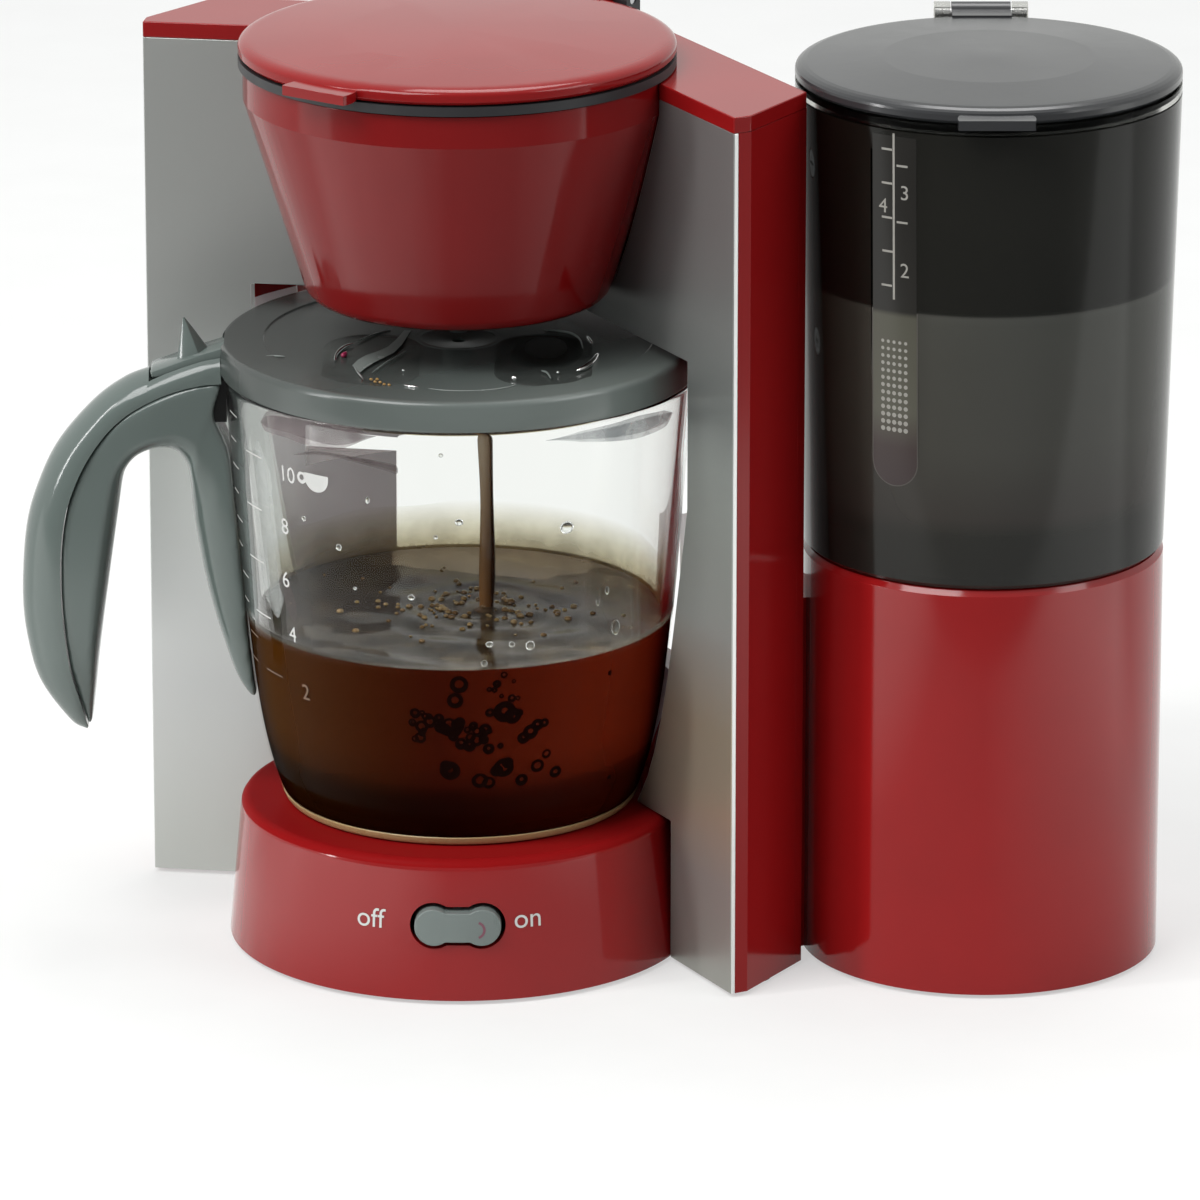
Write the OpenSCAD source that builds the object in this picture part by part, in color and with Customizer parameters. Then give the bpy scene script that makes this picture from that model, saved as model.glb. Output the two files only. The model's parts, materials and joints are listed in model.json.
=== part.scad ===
// Toy coffee maker: an open-book shaped upright housing with a round niche,
// a round base with a jug, a filter cone above it and a water tank beside it.
// Every module is drawn round the jug's vertical axis, with z = 0 at the underside
// of the machine; place() moves it all to the part's own origin.

/* [Upright housing] */
// Height of the housing, feet not counted
housing_h = 166; // [164:0.5:180]
// Thickness of the housing, from its front face to its back face
housing_t = 20.5; // [20:0.25:23]
// Wall thickness of the moulded housings
wall = 2.2; // [1.8:0.1:2.4]
// Thickness of the front panel
panel_t = 1; // [0.8:0.1:1.4]
// Thickness of the top cover
cover_t = 3; // [2.4:0.1:4]
// Angle between the left wing and the X axis
left_turn = 8.4; // [7:0.1:10]
// Angle between the right wing and the X axis
right_turn = 61.8; // [60:0.1:64]
// Distance from the jug's axis to the front of the left wing
left_offset = 22.5; // [22:0.1:24]
// Distance from the jug's axis to the front of the right wing
right_offset = 25.4; // [24.5:0.1:26.5]
// Length of the left wing, from the foot of that distance to its end
left_reach = 62.8; // [60:0.2:68]
// Length of the right wing, measured the same way
right_reach = 58.3; // [57:0.1:62]
// Width of the flat lip at the end of each wing
lip_w = 2.5; // [1.5:0.1:3.5]
// How far the slanted end of each wing runs back along the wing
nose_run = 10; // [8:0.5:11]

/* [Niche] */
// Height of the niche, from the base to its ceiling
niche_rise = 90.1; // [89.8:0.1:91.6]
// Widest radius of the niche, round the jug's axis
niche_r = 48.4; // [47.5:0.1:49]
// Gap between the jug and the niche at the foot of the jug
niche_foot_gap = 1; // [0.8:0.1:1.4]
// Growth of that gap for each millimetre of height
niche_flare = 0.09; // [0.07:0.005:0.1]
// Left edge of the window behind the jug, from the jug's axis
window_left = 13; // [11:0.5:15]
// Right edge of that window, from the jug's axis
window_right = 41; // [38:0.5:41]
// Left edge of the window's wider upper part, from the jug's axis
window_top_left = 31; // [28:0.5:32]
// Height of the window's narrow lower part
window_step = 33; // [28:0.5:40]

/* [Base] */
// Height of the base
base_h = 26.3; // [25.5:0.1:27]
// Radius of the base at its underside
base_r = 43.2; // [42.5:0.1:44]
// Radius of the base at its top edge
base_top_r = 41; // [40:0.1:42]
// Radius of the rounding along the top edge
base_round = 2; // [1:0.25:2.5]

/* [Switch] */
// Height of the middle of the rocker
rocker_z = 14.1; // [12:0.1:15.5]
// Length of the rocker
rocker_len = 15.9; // [13:0.1:18]
// Height of the rocker's round ends
rocker_h = 7; // [6:0.1:8]
// Height of the rocker's waist
rocker_waist_h = 5.6; // [4:0.1:5.8]
// How far the rocker stands out of the base
rocker_proud = 1.2; // [0.8:0.1:1.6]
// Gap all round the rocker
rocker_gap = 0.8; // [0.7:0.05:1.1]
// Radius of the rocker's pivot pin
pivot_r = 1; // [0.8:0.05:1.2]

/* [Tank] */
// Place of the tank's axis to the right of the jug's axis
tank_x = 96.6; // [96:0.2:100]
// Place of the tank's axis behind the jug's axis
tank_y = -6.7; // [-8:0.1:-5]
// Radius of the pedestal
tank_r = 33.2; // [32:0.1:33.6]
// Radius of the tank at its rim
tank_rim_r = 35.2; // [34.2:0.1:36]
// Height of the pedestal
pedestal_h = 77.5; // [76:0.5:80]
// How far the tank's rim lies below the housing's top
tank_drop = 3; // [2:0.5:6]
// Wall thickness of the transparent tank parts
tank_wall = 1.8; // [1.5:0.1:2]
// Height of the water cup's floor above the pedestal
cup_rise = 51; // [48:0.5:54]
// Width of the rounded strip that is sunk into the tank's front
strip_w = 9.2; // [8:0.2:10]
// Height of the strip's round end above the pedestal
strip_rise = 23.5; // [20:0.5:28]
// Distance from the strip's upper end to the tank's rim
strip_top_gap = 4; // [2:0.5:8]
// Angle of that strip, from the front towards the jug
strip_turn = 31.6; // [28:0.2:34]

/* [Filter] */
// Height of the filter cone's underside above the niche's ceiling
cone_rise = 6.3; // [6:0.1:6.8]
// Radius of the cone at its underside, before its rounding
cone_foot_r = 28.4; // [27.8:0.1:29]
// Slope of the cone's side, from the vertical
cone_slope = 16.1; // [15:0.1:16.6]
// Radius of the upright collar above the cone
collar_r = 39.2; // [38.4:0.1:39.4]
// Rounding of the cone's lower edge
cone_round = 3; // [2:0.25:4]
// Thickness of the filter basket
basket_wall = 1.4; // [1.2:0.1:1.8]
// Number of ribs inside the basket
basket_ribs = 16; // [8:1:24]
// Radius of the drip valve's stem
valve_r = 3; // [2.5:0.1:3.5]

/* [Jug] */
// Height of the jug, from its foot to the glass rim
jug_h = 82; // [81:0.1:82.6]
// Radius of the jug just above its foot ring
jug_foot_r = 32.6; // [32:0.1:33.2]
// How much the jug widens evenly from foot to rim
jug_taper = 6.1; // [5.6:0.1:6.4]
// How much the jug bellies out just above its foot
jug_belly = 4.6; // [4:0.1:5]
// Wall thickness of the jug
jug_wall = 2; // [1.6:0.1:2.2]
// Radius of the jug's lid
lid_r = 44.1; // [43.8:0.1:44.6]
// Thickness of the jug's lid
lid_t = 5.6; // [5:0.1:5.9]
// Width of the handle
handle_w = 15; // [13:0.2:17]
// Radius of the lid's hinge pin
pin_r = 1; // [0.8:0.05:1.1]

/* [Fits and fasteners] */
// Gap between pieces that don't move on each other
seat_gap = 0.3; // [0.2:0.05:0.4]
// Radial clearance of a pin or stem that turns or slides in its bore
run_gap = 0.05; // [0.03:0.01:0.08]
// Radius of a screw's shank
screw_r = 1.25; // [1:0.05:1.4]
// Radius of a screw's head
screw_head_r = 2.5; // [2.2:0.1:2.7]
// Height of a screw's head
screw_head_t = 1.3; // [1:0.1:1.4]
// Length of a screw's shank below its head
screw_len = 6.7; // [5:0.1:7]
// Height of the rubber feet below the machine
foot_h = 0.8; // [0.6:0.1:1.5]
// Radius of the rubber feet
foot_r = 4; // [3:0.25:4.5]

/* [Hidden] */
$fn = 96;
eps = 0.01;
far = 300;

// Plan of the wings: a point at distance s along a wing and at depth d behind its front
function on_left(s, d) = [
    (left_offset + d) * sin(left_turn) - s * cos(left_turn),
    (left_offset + d) * cos(left_turn) + s * sin(left_turn)];
function on_right(s, d) = [
    (right_offset + d) * sin(right_turn) + s * cos(right_turn),
    (right_offset + d) * cos(right_turn) - s * sin(right_turn)];
// The point where two upright planes meet, each given by its distance and its turn
function meet(a, a_turn, b, b_turn) = let (k = sin(a_turn - b_turn))
    [(a * cos(b_turn) - b * cos(a_turn)) / k, (b * sin(a_turn) - a * sin(b_turn)) / k];
// The corner where the two wings meet, at depth d
function fold(d) = meet(left_offset + d, left_turn, right_offset + d, right_turn);
// The corner behind it, which is cut off square to its bisector
corner_turn = (left_turn + right_turn) / 2;
corner_offset = 26;
function bends(d) = d < 5 ? [fold(d)] : [
    meet(corner_offset + d, corner_turn, right_offset + d, right_turn),
    meet(left_offset + d, left_turn, corner_offset + d, corner_turn)];

// Depths and slants shared by the housing's pieces
lip_d = panel_t + lip_w;
back_d = housing_t - wall;
shell_h = housing_h - cover_t;
niche_h = base_h + niche_rise;
cone_z = niche_h + cone_rise;
tank_h = housing_h - tank_drop;
cup_floor_z = pedestal_h + cup_rise;
low_shelf_z = 44;
top_shelf_drop = 16;
rib_h = 2;
rib_t = 1.5;
rib_end_r = 9;
hole_gap = 0.2;
head_sink = 0.1;
nose_k = nose_run / (housing_t - lip_d);
nose_wall = wall * sqrt(1 + nose_k * nose_k);
function nose_s(d) = nose_k * max(0, d - lip_d);
shelf_zs = [0, low_shelf_z, niche_h, housing_h - top_shelf_drop];
boss_zs = [for (i = [1:3]) shelf_zs[i] + wall / 2];
boss_r = 3;
boss_gap = 0.2;
left_boss_s = left_reach - 16;
right_boss_s = right_reach - 15;
left_boss_d = 6;
right_boss_d = 12.5;

// Niche, jug and lid profiles
jug_z = base_h + 0.2;
foot_ring_h = 1;
function jug_r(h) = jug_foot_r + jug_taper * h / jug_h
    + jug_belly * (1 - exp(-7 * h / jug_h));
jug_rim_z = jug_z + jug_h;
lid_z = jug_rim_z + 0.2;
lid_top_z = lid_z + lid_t;
niche_steps = 10;
niche_full_h = (niche_r - jug_foot_r - jug_belly - niche_foot_gap)
    / (niche_flare + jug_taper / jug_h);
function niche_at(z) = min(niche_r,
    jug_r(max(0, z - jug_z)) + niche_foot_gap + niche_flare * max(0, z - jug_z));
niche_wall = 1.8;

// Base and switch
base_slope = (base_r - base_top_r) / base_h;
function base_at(z) = base_r - base_slope * z;
switch_y = -(base_at(rocker_z) - 5);
rocker_front_y = -(base_at(rocker_z) + rocker_proud);
plate_t = 1.8;
plate_z = 0.2;
base_boss_turns = [200, 270 + 42, 20];
base_boss_r0 = base_top_r - wall - 4.5;
base_post_h = base_h - wall - plate_z - plate_t;

// Pedestal, tank and bridge
tank_slope = (tank_rim_r - tank_r) / (tank_h - pedestal_h);
function tank_at(z) = tank_r + tank_slope * max(0, z - pedestal_h);
spigot_h = 4;
spigot_r = tank_r - wall - seat_gap;
deck_z = pedestal_h - spigot_h - wall - seat_gap;
dock_r = 7;
dock_depth = 10;
outlet_r = 3.2;
seal_r = 2.2;
cup_gap = 0.4;
bridge_s = [27, 41.5];
bridge_h = 68;
tank_boss_turns = [30, 150, 270];
tank_boss_r0 = tank_r - wall - 3.6;

// Water pipe: outer and inner radius and the points that it runs through
pipe_r = 2.4;
pipe_bore_r = 1.5;
pipe_low_z = 36;
pipe_high_z = cone_z + 5.5;
pipe_bend_s = 34.2;
pipe_bend_d = housing_t + 6.5;
pipe_knee_d = 11;
fitting_r = pipe_r + 0.6;
riser_s = right_reach - 12.3;
riser_d = 9;
pipe_top_s = 7;
pipe_turn = atan2(on_right(pipe_top_s, pipe_knee_d)[1], on_right(pipe_top_s, pipe_knee_d)[0]);

// Filter cone and its inside
cone_tan = tan(cone_slope);
collar_z = cone_z + (collar_r - cone_foot_r) / cone_tan;
cone_wall = 2;
function cone_at(z) = min(collar_r, cone_foot_r + (z - cone_z) * cone_tan);
cone_floor_z = cone_z + cone_wall + 0.5;
retainer_z = cone_floor_z + 7;
retainer_t = 1.6;
retainer_r = cone_at(retainer_z) - cone_wall - 0.5;
basket_z = retainer_z + retainer_t + 1;
valve_head_r = valve_r + 2;
valve_head_z = cone_floor_z + 0.4;
valve_head_t = 2;
valve_tip_z = lid_top_z + 1.2;
spring_r = valve_r + 1.1;
spring_wire_r = 0.4;
spring_turns = 4;
spring_z0 = valve_head_z + valve_head_t + spring_wire_r;
spring_z1 = retainer_z - spring_wire_r;

// Lids that open away from the front: hinge places beside each rim
flange_t = 2;
hinge_out = 3.6;
hinge_up = 2.4;
knuckle_r = 2.2;
knuckle_w = 11;
ear_w = 3;
lid_pin_r = 1;
tab_out = 4;
filter_hinge_turn = 90 - corner_turn;
basket_flange_r = collar_r + 0.8;
filter_lid_z = housing_h + flange_t + seat_gap;
tank_lid_z = tank_h + flange_t + seat_gap;

// Handle outlines in the X-Z plane, heights above the jug's foot
function on_jug(list) = [for (p = list) [p[0], jug_z + p[1]]];
handle_out = on_jug([[-69.6, 12.5], [-72.4, 13.9], [-77.8, 21.4], [-80.1, 29.2], [-81, 38.5], [-80.1, 51.5],
    [-77.6, 60.3], [-73.8, 68], [-67.3, 75.6], [-61.5, 80.1], [-57, 82.5]]);
handle_seam = on_jug([[-69, 13.5], [-71, 19], [-73, 25.8], [-74.1, 34], [-74.1, 42], [-73.4, 50],
    [-71.4, 57.1], [-67.8, 64.1], [-63.6, 69.3], [-60, 72.2], [-56.6, 74.5]]);
handle_in = on_jug([[-68.4, 14.1], [-67.6, 20.7], [-66.9, 27.1], [-66, 34], [-65, 41], [-64, 48],
    [-62.9, 55.5], [-62, 61.3], [-60.9, 63.9], [-59.2, 65.7], [-57.2, 66.7]]);
arm_top = on_jug([[-56.6, 74.5], [-53.4, 76.1], [-50.2, 77.4], [-47.2, 78.2], [-44.6, 78.6],
    [-43.9, 75.5], [-43.7, 69.5]]);
arm_low = on_jug([[-57.2, 66.7], [-55.6, 67], [-54, 67], [-52.6, 66.6], [-51.4, 65.6],
    [-50.4, 63.9], [-49.7, 61.9]]);
strap_edge = on_jug([[-46.5, 70], [-48.6, 65.5], [-49.5, 60.5], [-49, 53.5], [-47.6, 44.5],
    [-45.8, 36.5], [-43.6, 29],
    [-41.3, 22.5], [-38.6, 18.7]]);
core_inset = 0.5;
seam_gap = 0.12;
strap_w = 12;
bracket_w = 12.6;
lever_w = 8.2;
lever_knuckle_w = 5;
lid_pivot = [-48.6, jug_z + 80.5];
lid_knuckle_r = 2.5;

module place() translate([-origin_x, -origin_y, foot_h]) children();
handle_reach = -min([for (p = handle_out) p[0]]);
origin_x = (tank_x + tank_rim_r - handle_reach) / 2;
origin_y = (on_left(left_reach - nose_run, housing_t)[1] + tank_y - tank_rim_r - tab_out) / 2;

// ---------- helpers ----------

// Smooth curve through a list of points, with n steps between neighbours
function between(a, b, c, d, t) = 0.5 * (2 * b + (c - a) * t
    + (2 * a - 5 * b + 4 * c - d) * t * t + (3 * b - a - 3 * c + d) * t * t * t);
function smooth(p, n) = [for (i = [0:len(p) - 2], k = [0:n - (i == len(p) - 2 ? 0 : 1)])
    between(p[max(0, i - 1)], p[i], p[i + 1], p[min(len(p) - 1, i + 2)], k / n)];

// Solid through a list of rings, each with the same number of points
module loft(rings) {
    m = len(rings[0]);
    n = len(rings);
    polyhedron(
        points = [for (r = rings) for (p = r) p],
        faces = concat(
            [[for (i = [0:m - 1]) i]],
            [[for (i = [m - 1:-1:0]) (n - 1) * m + i]],
            [for (k = [0:n - 2], i = [0:m - 1]) let (j = (i + 1) % m)
                [k * m + j, k * m + i, (k + 1) * m + i]],
            [for (k = [0:n - 2], i = [0:m - 1]) let (j = (i + 1) % m)
                [k * m + j, (k + 1) * m + i, (k + 1) * m + j]]));
}

// Round bar along a path that starts downwards, mitred at each corner
function unit(v) = v / norm(v);
function next_ring(path, ring, k) = let (u = unit(path[k + 1] - path[k]),
        n = k + 2 < len(path) ? unit(path[k + 2] - path[k + 1]) + u : u)
    [for (p = ring) p + u * ((path[k + 1] - p) * n) / (u * n)];
function rings(path, ring, k) = k >= len(path) - 1 ? [ring]
    : concat([ring], rings(path, next_ring(path, ring, k), k + 1));
module sweep(path, r) loft(rings(path,
    [for (a = [0:18:342]) path[0] + [r * cos(a), -r * sin(a), 0]], 0));

// Flat strip that follows both wings between depths d0 and d1
module wing_strip(d0, d1, h) {
    linear_extrude(h) polygon([
        on_left(left_reach - nose_s(d0), d0), each d1 < 5 ? [fold(d0)] : [for (i = [1, 0]) bends(d0)[i]],
        on_right(right_reach - nose_s(d0), d0), on_right(right_reach - nose_s(d1), d1),
        each bends(d1), on_left(left_reach - nose_s(d1), d1)]);
}

// Outline of the housing between depths d0 and d1, with its slanted ends
module wing_outline(d0, d1) {
    polygon([
        on_left(left_reach, d0), fold(d0), on_right(right_reach, d0), on_right(right_reach, lip_d),
        on_right(right_reach - nose_s(d1), d1), each bends(d1), on_left(left_reach - nose_s(d1), d1),
        on_left(left_reach, lip_d)]);
}

// The room inside the housing's end walls
module wing_room(d0, d1) {
    ends = [left_reach - nose_wall, right_reach - nose_wall];
    polygon([
        on_left(ends[0], d0), fold(d0), on_right(ends[1], d0), on_right(ends[1], lip_d),
        on_right(ends[1] - nose_s(d1), d1), each bends(d1), on_left(ends[0] - nose_s(d1), d1),
        on_left(ends[0], lip_d)]);
}

// Everything in front of depth d, for trimming round pieces
module in_front_of(d, h) {
    linear_extrude(h) polygon([on_left(far, d), fold(d), on_right(far, d),
        on_right(far, -far), on_left(far, -far)]);
}

// Profile of the niche, grown outwards by g
function niche_profile(g, top) = concat(
    [[0, base_h]],
    [for (i = [0:niche_steps]) let (z = jug_z + i * niche_full_h / niche_steps)
        [niche_at(z) + g, i == 0 ? base_h : z]],
    [[niche_r + g, top], [0, top]]);

module niche_cavity() rotate_extrude() polygon(niche_profile(0, niche_h));

// Window through the housing's back behind the jug, wider above a step, grown sideways and
// downwards by g
window_z = low_shelf_z + wall;
window_y = 10;
module back_window(g) for (w = [[window_left, window_z], [window_top_left, window_z + window_step]])
    translate([-w[0] - g, window_y, w[1] - g])
        cube([w[0] + window_right + 2 * g, far, niche_h - w[1] + g]);
// Block that the window is cut from, which leaves a wall round it
module window_jambs() intersection() {
    translate([0, 0, low_shelf_z + wall / 2]) linear_extrude(niche_h - low_shelf_z)
        wing_outline(panel_t + boss_gap, back_d - boss_gap);
    back_window(wall);
}

// Outside of the filter cone and its collar, grown outwards by g
module cone_body(g) {
    rotate_extrude() polygon(concat(
        [[0, cone_z - g]],
        [for (i = [0:4]) let (a = 90 - i * (90 - cone_slope) / 4)
            [cone_foot_r - cone_round + cone_round * cos(a) + g,
                cone_z + cone_round - cone_round * sin(a) - g * sin(a)]],
        [[collar_r + g, collar_z], [collar_r + g, housing_h], [0, housing_h]]));
}

// Self-tapping screw with its head's top at z = 0 and its shank downwards
module screw() {
    difference() {
        union() {
            translate([0, 0, -screw_head_t]) cylinder(r = screw_head_r, h = screw_head_t, $fn = 32);
            translate([0, 0, -screw_head_t - screw_len])
                cylinder(r = screw_r, h = screw_len + 0.5, $fn = 32);
        }
        for (a = [0, 90]) rotate([0, 0, a]) translate([-1.4, -0.25, -0.8]) cube([2.8, 0.5, 1]);
    }
}

// Puts children on a wing's back face, with +z pointing out of the back
module at_left_back(s, z) translate([each on_left(s, housing_t), z])
    rotate([0, 0, -left_turn]) rotate([-90, 0, 0]) children();
module at_right_back(s, z) translate([each on_right(s, housing_t), z])
    rotate([0, 0, -right_turn]) rotate([-90, 0, 0]) children();
module at_back_bosses() for (z = boss_zs) {
    at_left_back(left_boss_s, z) children();
    at_right_back(right_boss_s, z) children();
}
module at_base_bosses() for (a = base_boss_turns)
    rotate([0, 0, a]) translate([base_boss_r0, 0, 0]) children();
module at_tank() translate([tank_x, tank_y, 0]) children();
module at_tank_bosses() at_tank() for (a = tank_boss_turns)
    rotate([0, 0, a]) translate([tank_boss_r0, 0, 0]) children();

// Round cylinder between two points that lie at one height, or one above the other
module rod(a, b, r) {
    d = b - a;
    translate(a) rotate([0, 0, atan2(d[1], d[0])]) rotate([0, atan2(norm([d[0], d[1]]), d[2]), 0])
        cylinder(r = r, h = norm(d), $fn = 40);
}

// ---------- upright housing ----------

module housing_shell() color("firebrick") difference() {
    union() {
        linear_extrude(shell_h) difference() {
            wing_outline(panel_t, back_d);
            wing_room(panel_t - 1, housing_t + 1);
        }
        for (z = shelf_zs) translate([0, 0, z]) linear_extrude(wall) wing_outline(panel_t, back_d);
        intersection() {
            linear_extrude(niche_h + wall) wing_outline(panel_t, back_d);
            rotate_extrude() polygon(niche_profile(niche_wall, niche_h + wall));
        }
        window_jambs();
        for (z = boss_zs) {
            at_left_back(left_boss_s, z) translate([0, 0, left_boss_d - housing_t])
                cylinder(r = boss_r, h = back_d - left_boss_d - boss_gap, $fn = 40);
            at_right_back(right_boss_s, z) translate([0, 0, right_boss_d - housing_t])
                cylinder(r = boss_r, h = back_d - right_boss_d - boss_gap, $fn = 40);
        }
    }
    niche_cavity();
    back_window(0);
    cone_body(seat_gap);
    translate([0, 0, -1]) cylinder(r = base_r + seat_gap, h = base_h + 1 + seat_gap);
    translate([each on_right(riser_s, riser_d), pipe_low_z - pipe_r - 1])
        cylinder(r = pipe_r + seat_gap, h = pipe_high_z - pipe_low_z + 2 * pipe_r + 2, $fn = 40);
    at_back_bosses() translate([0, 0, -wall - 9]) cylinder(r = screw_r + run_gap, h = 10, $fn = 32);
}

module front_panel() color("silver") difference() {
    wing_strip(0, panel_t, shell_h);
    niche_cavity();
    cone_body(seat_gap);
    translate([0, 0, -1]) cylinder(r = base_r + seat_gap, h = base_h + 1 + seat_gap);
}

module back_cover() color("firebrick") difference() {
    wing_strip(back_d, housing_t, shell_h);
    niche_cavity();
    back_window(0);
    at_back_bosses() {
        translate([0, 0, -wall - 1]) cylinder(r = screw_r + hole_gap, h = wall + 2, $fn = 32);
        translate([0, 0, -head_sink - screw_head_t])
            cylinder(r = screw_head_r + hole_gap, h = screw_head_t + 1, $fn = 32);
    }
    pipe_row(1, pipe_r + seat_gap);
}

module top_cover() color("firebrick") difference() {
    translate([0, 0, shell_h]) union() {
        linear_extrude(cover_t) wing_outline(0, housing_t);
        translate([0, 0, -rib_h]) linear_extrude(rib_h) difference() {
            wing_room(panel_t + seat_gap + hole_gap, back_d - seat_gap - hole_gap);
            wing_room(panel_t + seat_gap + hole_gap + rib_t, back_d - seat_gap - hole_gap - rib_t);
            for (p = [on_left(left_reach, 0), on_right(right_reach, 0)]) translate(p)
                circle(r = rib_end_r);
        }
    }
    cone_body(seat_gap);
    translate([0, 0, shell_h - wall - 1]) cylinder(r = collar_r + 3, h = wall + 1);
}

// ---------- base and switch ----------

module rocker_face(g) {
    end = rocker_len / 2 - rocker_h / 2;
    for (x = [-end, end]) translate([x, 0]) circle(r = rocker_h / 2 + g, $fn = 48);
    square([2 * end, rocker_waist_h + 2 * g], center = true);
}

module base_shell() color("firebrick") difference() {
    intersection() {
        union() {
            difference() {
                rotate_extrude() polygon(concat(
                    [[0, 0], [base_r, 0]],
                    [for (i = [0:4]) let (a = 90 * i / 4)
                        [base_top_r - base_round + base_round * cos(a),
                            base_h - base_round + base_round * sin(a)]],
                    [[0, base_h]]));
                translate([0, 0, -1]) cylinder(r1 = base_r - wall, r2 = base_top_r - wall,
                    h = base_h - wall + 1);
            }
            at_base_bosses() translate([0, 0, plate_z + plate_t])
                cylinder(r = boss_r, h = base_post_h + 0.5, $fn = 40);
            for (z = [rocker_z - rocker_h / 2 - 4, rocker_z + rocker_h / 2 + 1.5])
                translate([-4, rocker_front_y + rocker_proud + 1, z])
                    cube([8, switch_y - rocker_front_y - rocker_proud + 2, 2.5]);
        }
        in_front_of(back_d - seat_gap, base_h + 1);
        cylinder(r = base_r, h = base_h);
    }
    translate([0, switch_y + 3, rocker_z]) rotate([90, 0, 0]) linear_extrude(20) rocker_face(rocker_gap);
    translate([0, switch_y, rocker_z - rocker_h / 2 - 3])
        cylinder(r = pivot_r, h = rocker_h + 7, $fn = 40);
    at_base_bosses() translate([0, 0, plate_z - 1]) cylinder(r = screw_r + run_gap, h = 14, $fn = 32);
}

module base_plate() color("dimgray") difference() {
    intersection() {
        translate([0, 0, plate_z]) cylinder(r = base_r - wall - seat_gap - 0.2, h = plate_t);
        in_front_of(back_d - seat_gap, 10);
    }
    at_base_bosses() screw_hole();
}

// Hole for a screw that comes from below through a plate
module screw_hole() {
    translate([0, 0, -1]) cylinder(r = screw_r + hole_gap, h = 6, $fn = 32);
    translate([0, 0, plate_z - 1])
        cylinder(r = screw_head_r + hole_gap, h = head_sink + screw_head_t + 1, $fn = 32);
}

module switch_rocker() color("gray") difference() {
    intersection() {
        translate([0, switch_y + 2.4, rocker_z]) rotate([90, 0, 0])
            linear_extrude(switch_y + 2.4 - rocker_front_y + 1) rocker_face(0);
        cylinder(r = -rocker_front_y, h = far);
    }
    translate([0, switch_y, 0]) cylinder(r = pivot_r + run_gap, h = base_h, $fn = 40);
    // hollow back on both sides of the pivot's rib
    for (x = [-1, 1]) translate([x * (rocker_len / 2 - 3.4), switch_y + 1.2, rocker_z])
        cube([rocker_len / 2 - 4.4, 6, rocker_waist_h - 1.6], center = true);
}

module switch_pin() color("lightgray")
    translate([0, switch_y, rocker_z - rocker_h / 2 - 3]) cylinder(r = pivot_r, h = rocker_h + 7, $fn = 40);

// ---------- tank ----------

module tank_pedestal() color("firebrick") difference() {
    union() {
        at_tank() difference() {
            union() {
                cylinder(r = tank_r, h = pedestal_h - 1);
                translate([0, 0, pedestal_h - 1]) cylinder(r1 = tank_r, r2 = tank_r - 0.8, h = 1);
            }
            translate([0, 0, -1]) cylinder(r = tank_r - wall, h = deck_z + 1);
            translate([0, 0, deck_z + wall]) cylinder(r = tank_r - wall, h = pedestal_h);
        }
        difference() {
            linear_extrude(bridge_h) polygon([
                on_right(bridge_s[0], housing_t), on_right(bridge_s[1], housing_t),
                on_right(bridge_s[1], housing_t + 8), on_right(bridge_s[0], housing_t + 16)]);
            at_tank() translate([0, 0, -1]) cylinder(r = tank_r - wall, h = bridge_h + 2);
            translate([0, 0, -1]) linear_extrude(bridge_h - wall + 1) polygon([
                on_right(bridge_s[0] + wall, housing_t - 1), on_right(bridge_s[1] - wall, housing_t - 1),
                on_right(bridge_s[1] - wall, far), on_right(bridge_s[0] + wall, far)]);
        }
        at_tank() translate([0, 0, deck_z - dock_depth]) cylinder(r = dock_r + wall, h = dock_depth + 1);
        at_tank_bosses() translate([0, 0, plate_z + plate_t])
            cylinder(r = boss_r, h = deck_z - plate_z - plate_t + 0.5, $fn = 40);
    }
    at_tank() translate([0, 0, deck_z - dock_depth + wall]) cylinder(r = dock_r, h = far);
    at_tank() translate([0, 0, deck_z - dock_depth - 1]) cylinder(r = pipe_r + run_gap, h = 10, $fn = 40);
    at_tank_bosses() translate([0, 0, -1]) cylinder(r = screw_r + run_gap, h = 16, $fn = 32);
    pipe_row(0, fitting_r + seat_gap);
}

module pedestal_plate() color("dimgray") difference() {
    at_tank() translate([0, 0, plate_z]) cylinder(r = tank_r - wall - seat_gap, h = plate_t);
    at_tank_bosses() screw_hole();
}

module dock_seal() color("dimgray") at_tank() translate([0, 0, deck_z - dock_depth + wall])
    difference() {
        cylinder(r = dock_r - run_gap, h = 6);
        translate([0, 0, -1]) cylinder(r = seal_r, h = 8, $fn = 40);
        translate([0, 0, 2.4]) cylinder(r = outlet_r + 0.1, h = 6, $fn = 40);
    }

// Plan of a rounded strip, its round end at the origin, running up
module strip_face(w, length) {
    circle(r = w / 2, $fn = 48);
    translate([-w / 2, 0]) square([w, length]);
}

module tank_sleeve() color([0.2, 0.2, 0.22, 0.5]) difference() {
    at_tank() rotate_extrude() polygon([
        [outlet_r + 1, pedestal_h - spigot_h], [spigot_r, pedestal_h - spigot_h],
        [spigot_r, pedestal_h + seat_gap], [tank_r - 0.8, pedestal_h + seat_gap],
        [tank_r, pedestal_h + 1.1], [tank_rim_r, tank_h], [tank_rim_r - tank_wall, tank_h],
        [tank_r - tank_wall, pedestal_h + tank_wall], [spigot_r - tank_wall, pedestal_h - 1],
        [spigot_r - tank_wall, pedestal_h - spigot_h + tank_wall],
        [outlet_r + 1, pedestal_h - spigot_h + tank_wall]]);
    at_tank() rotate([0, 0, -strip_turn]) translate([0, -tank_rim_r - 1.2, pedestal_h + strip_rise])
        rotate([90, 0, 180]) linear_extrude(2.6)
            strip_face(strip_w, tank_h - pedestal_h - strip_rise - strip_top_gap);
}

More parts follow.
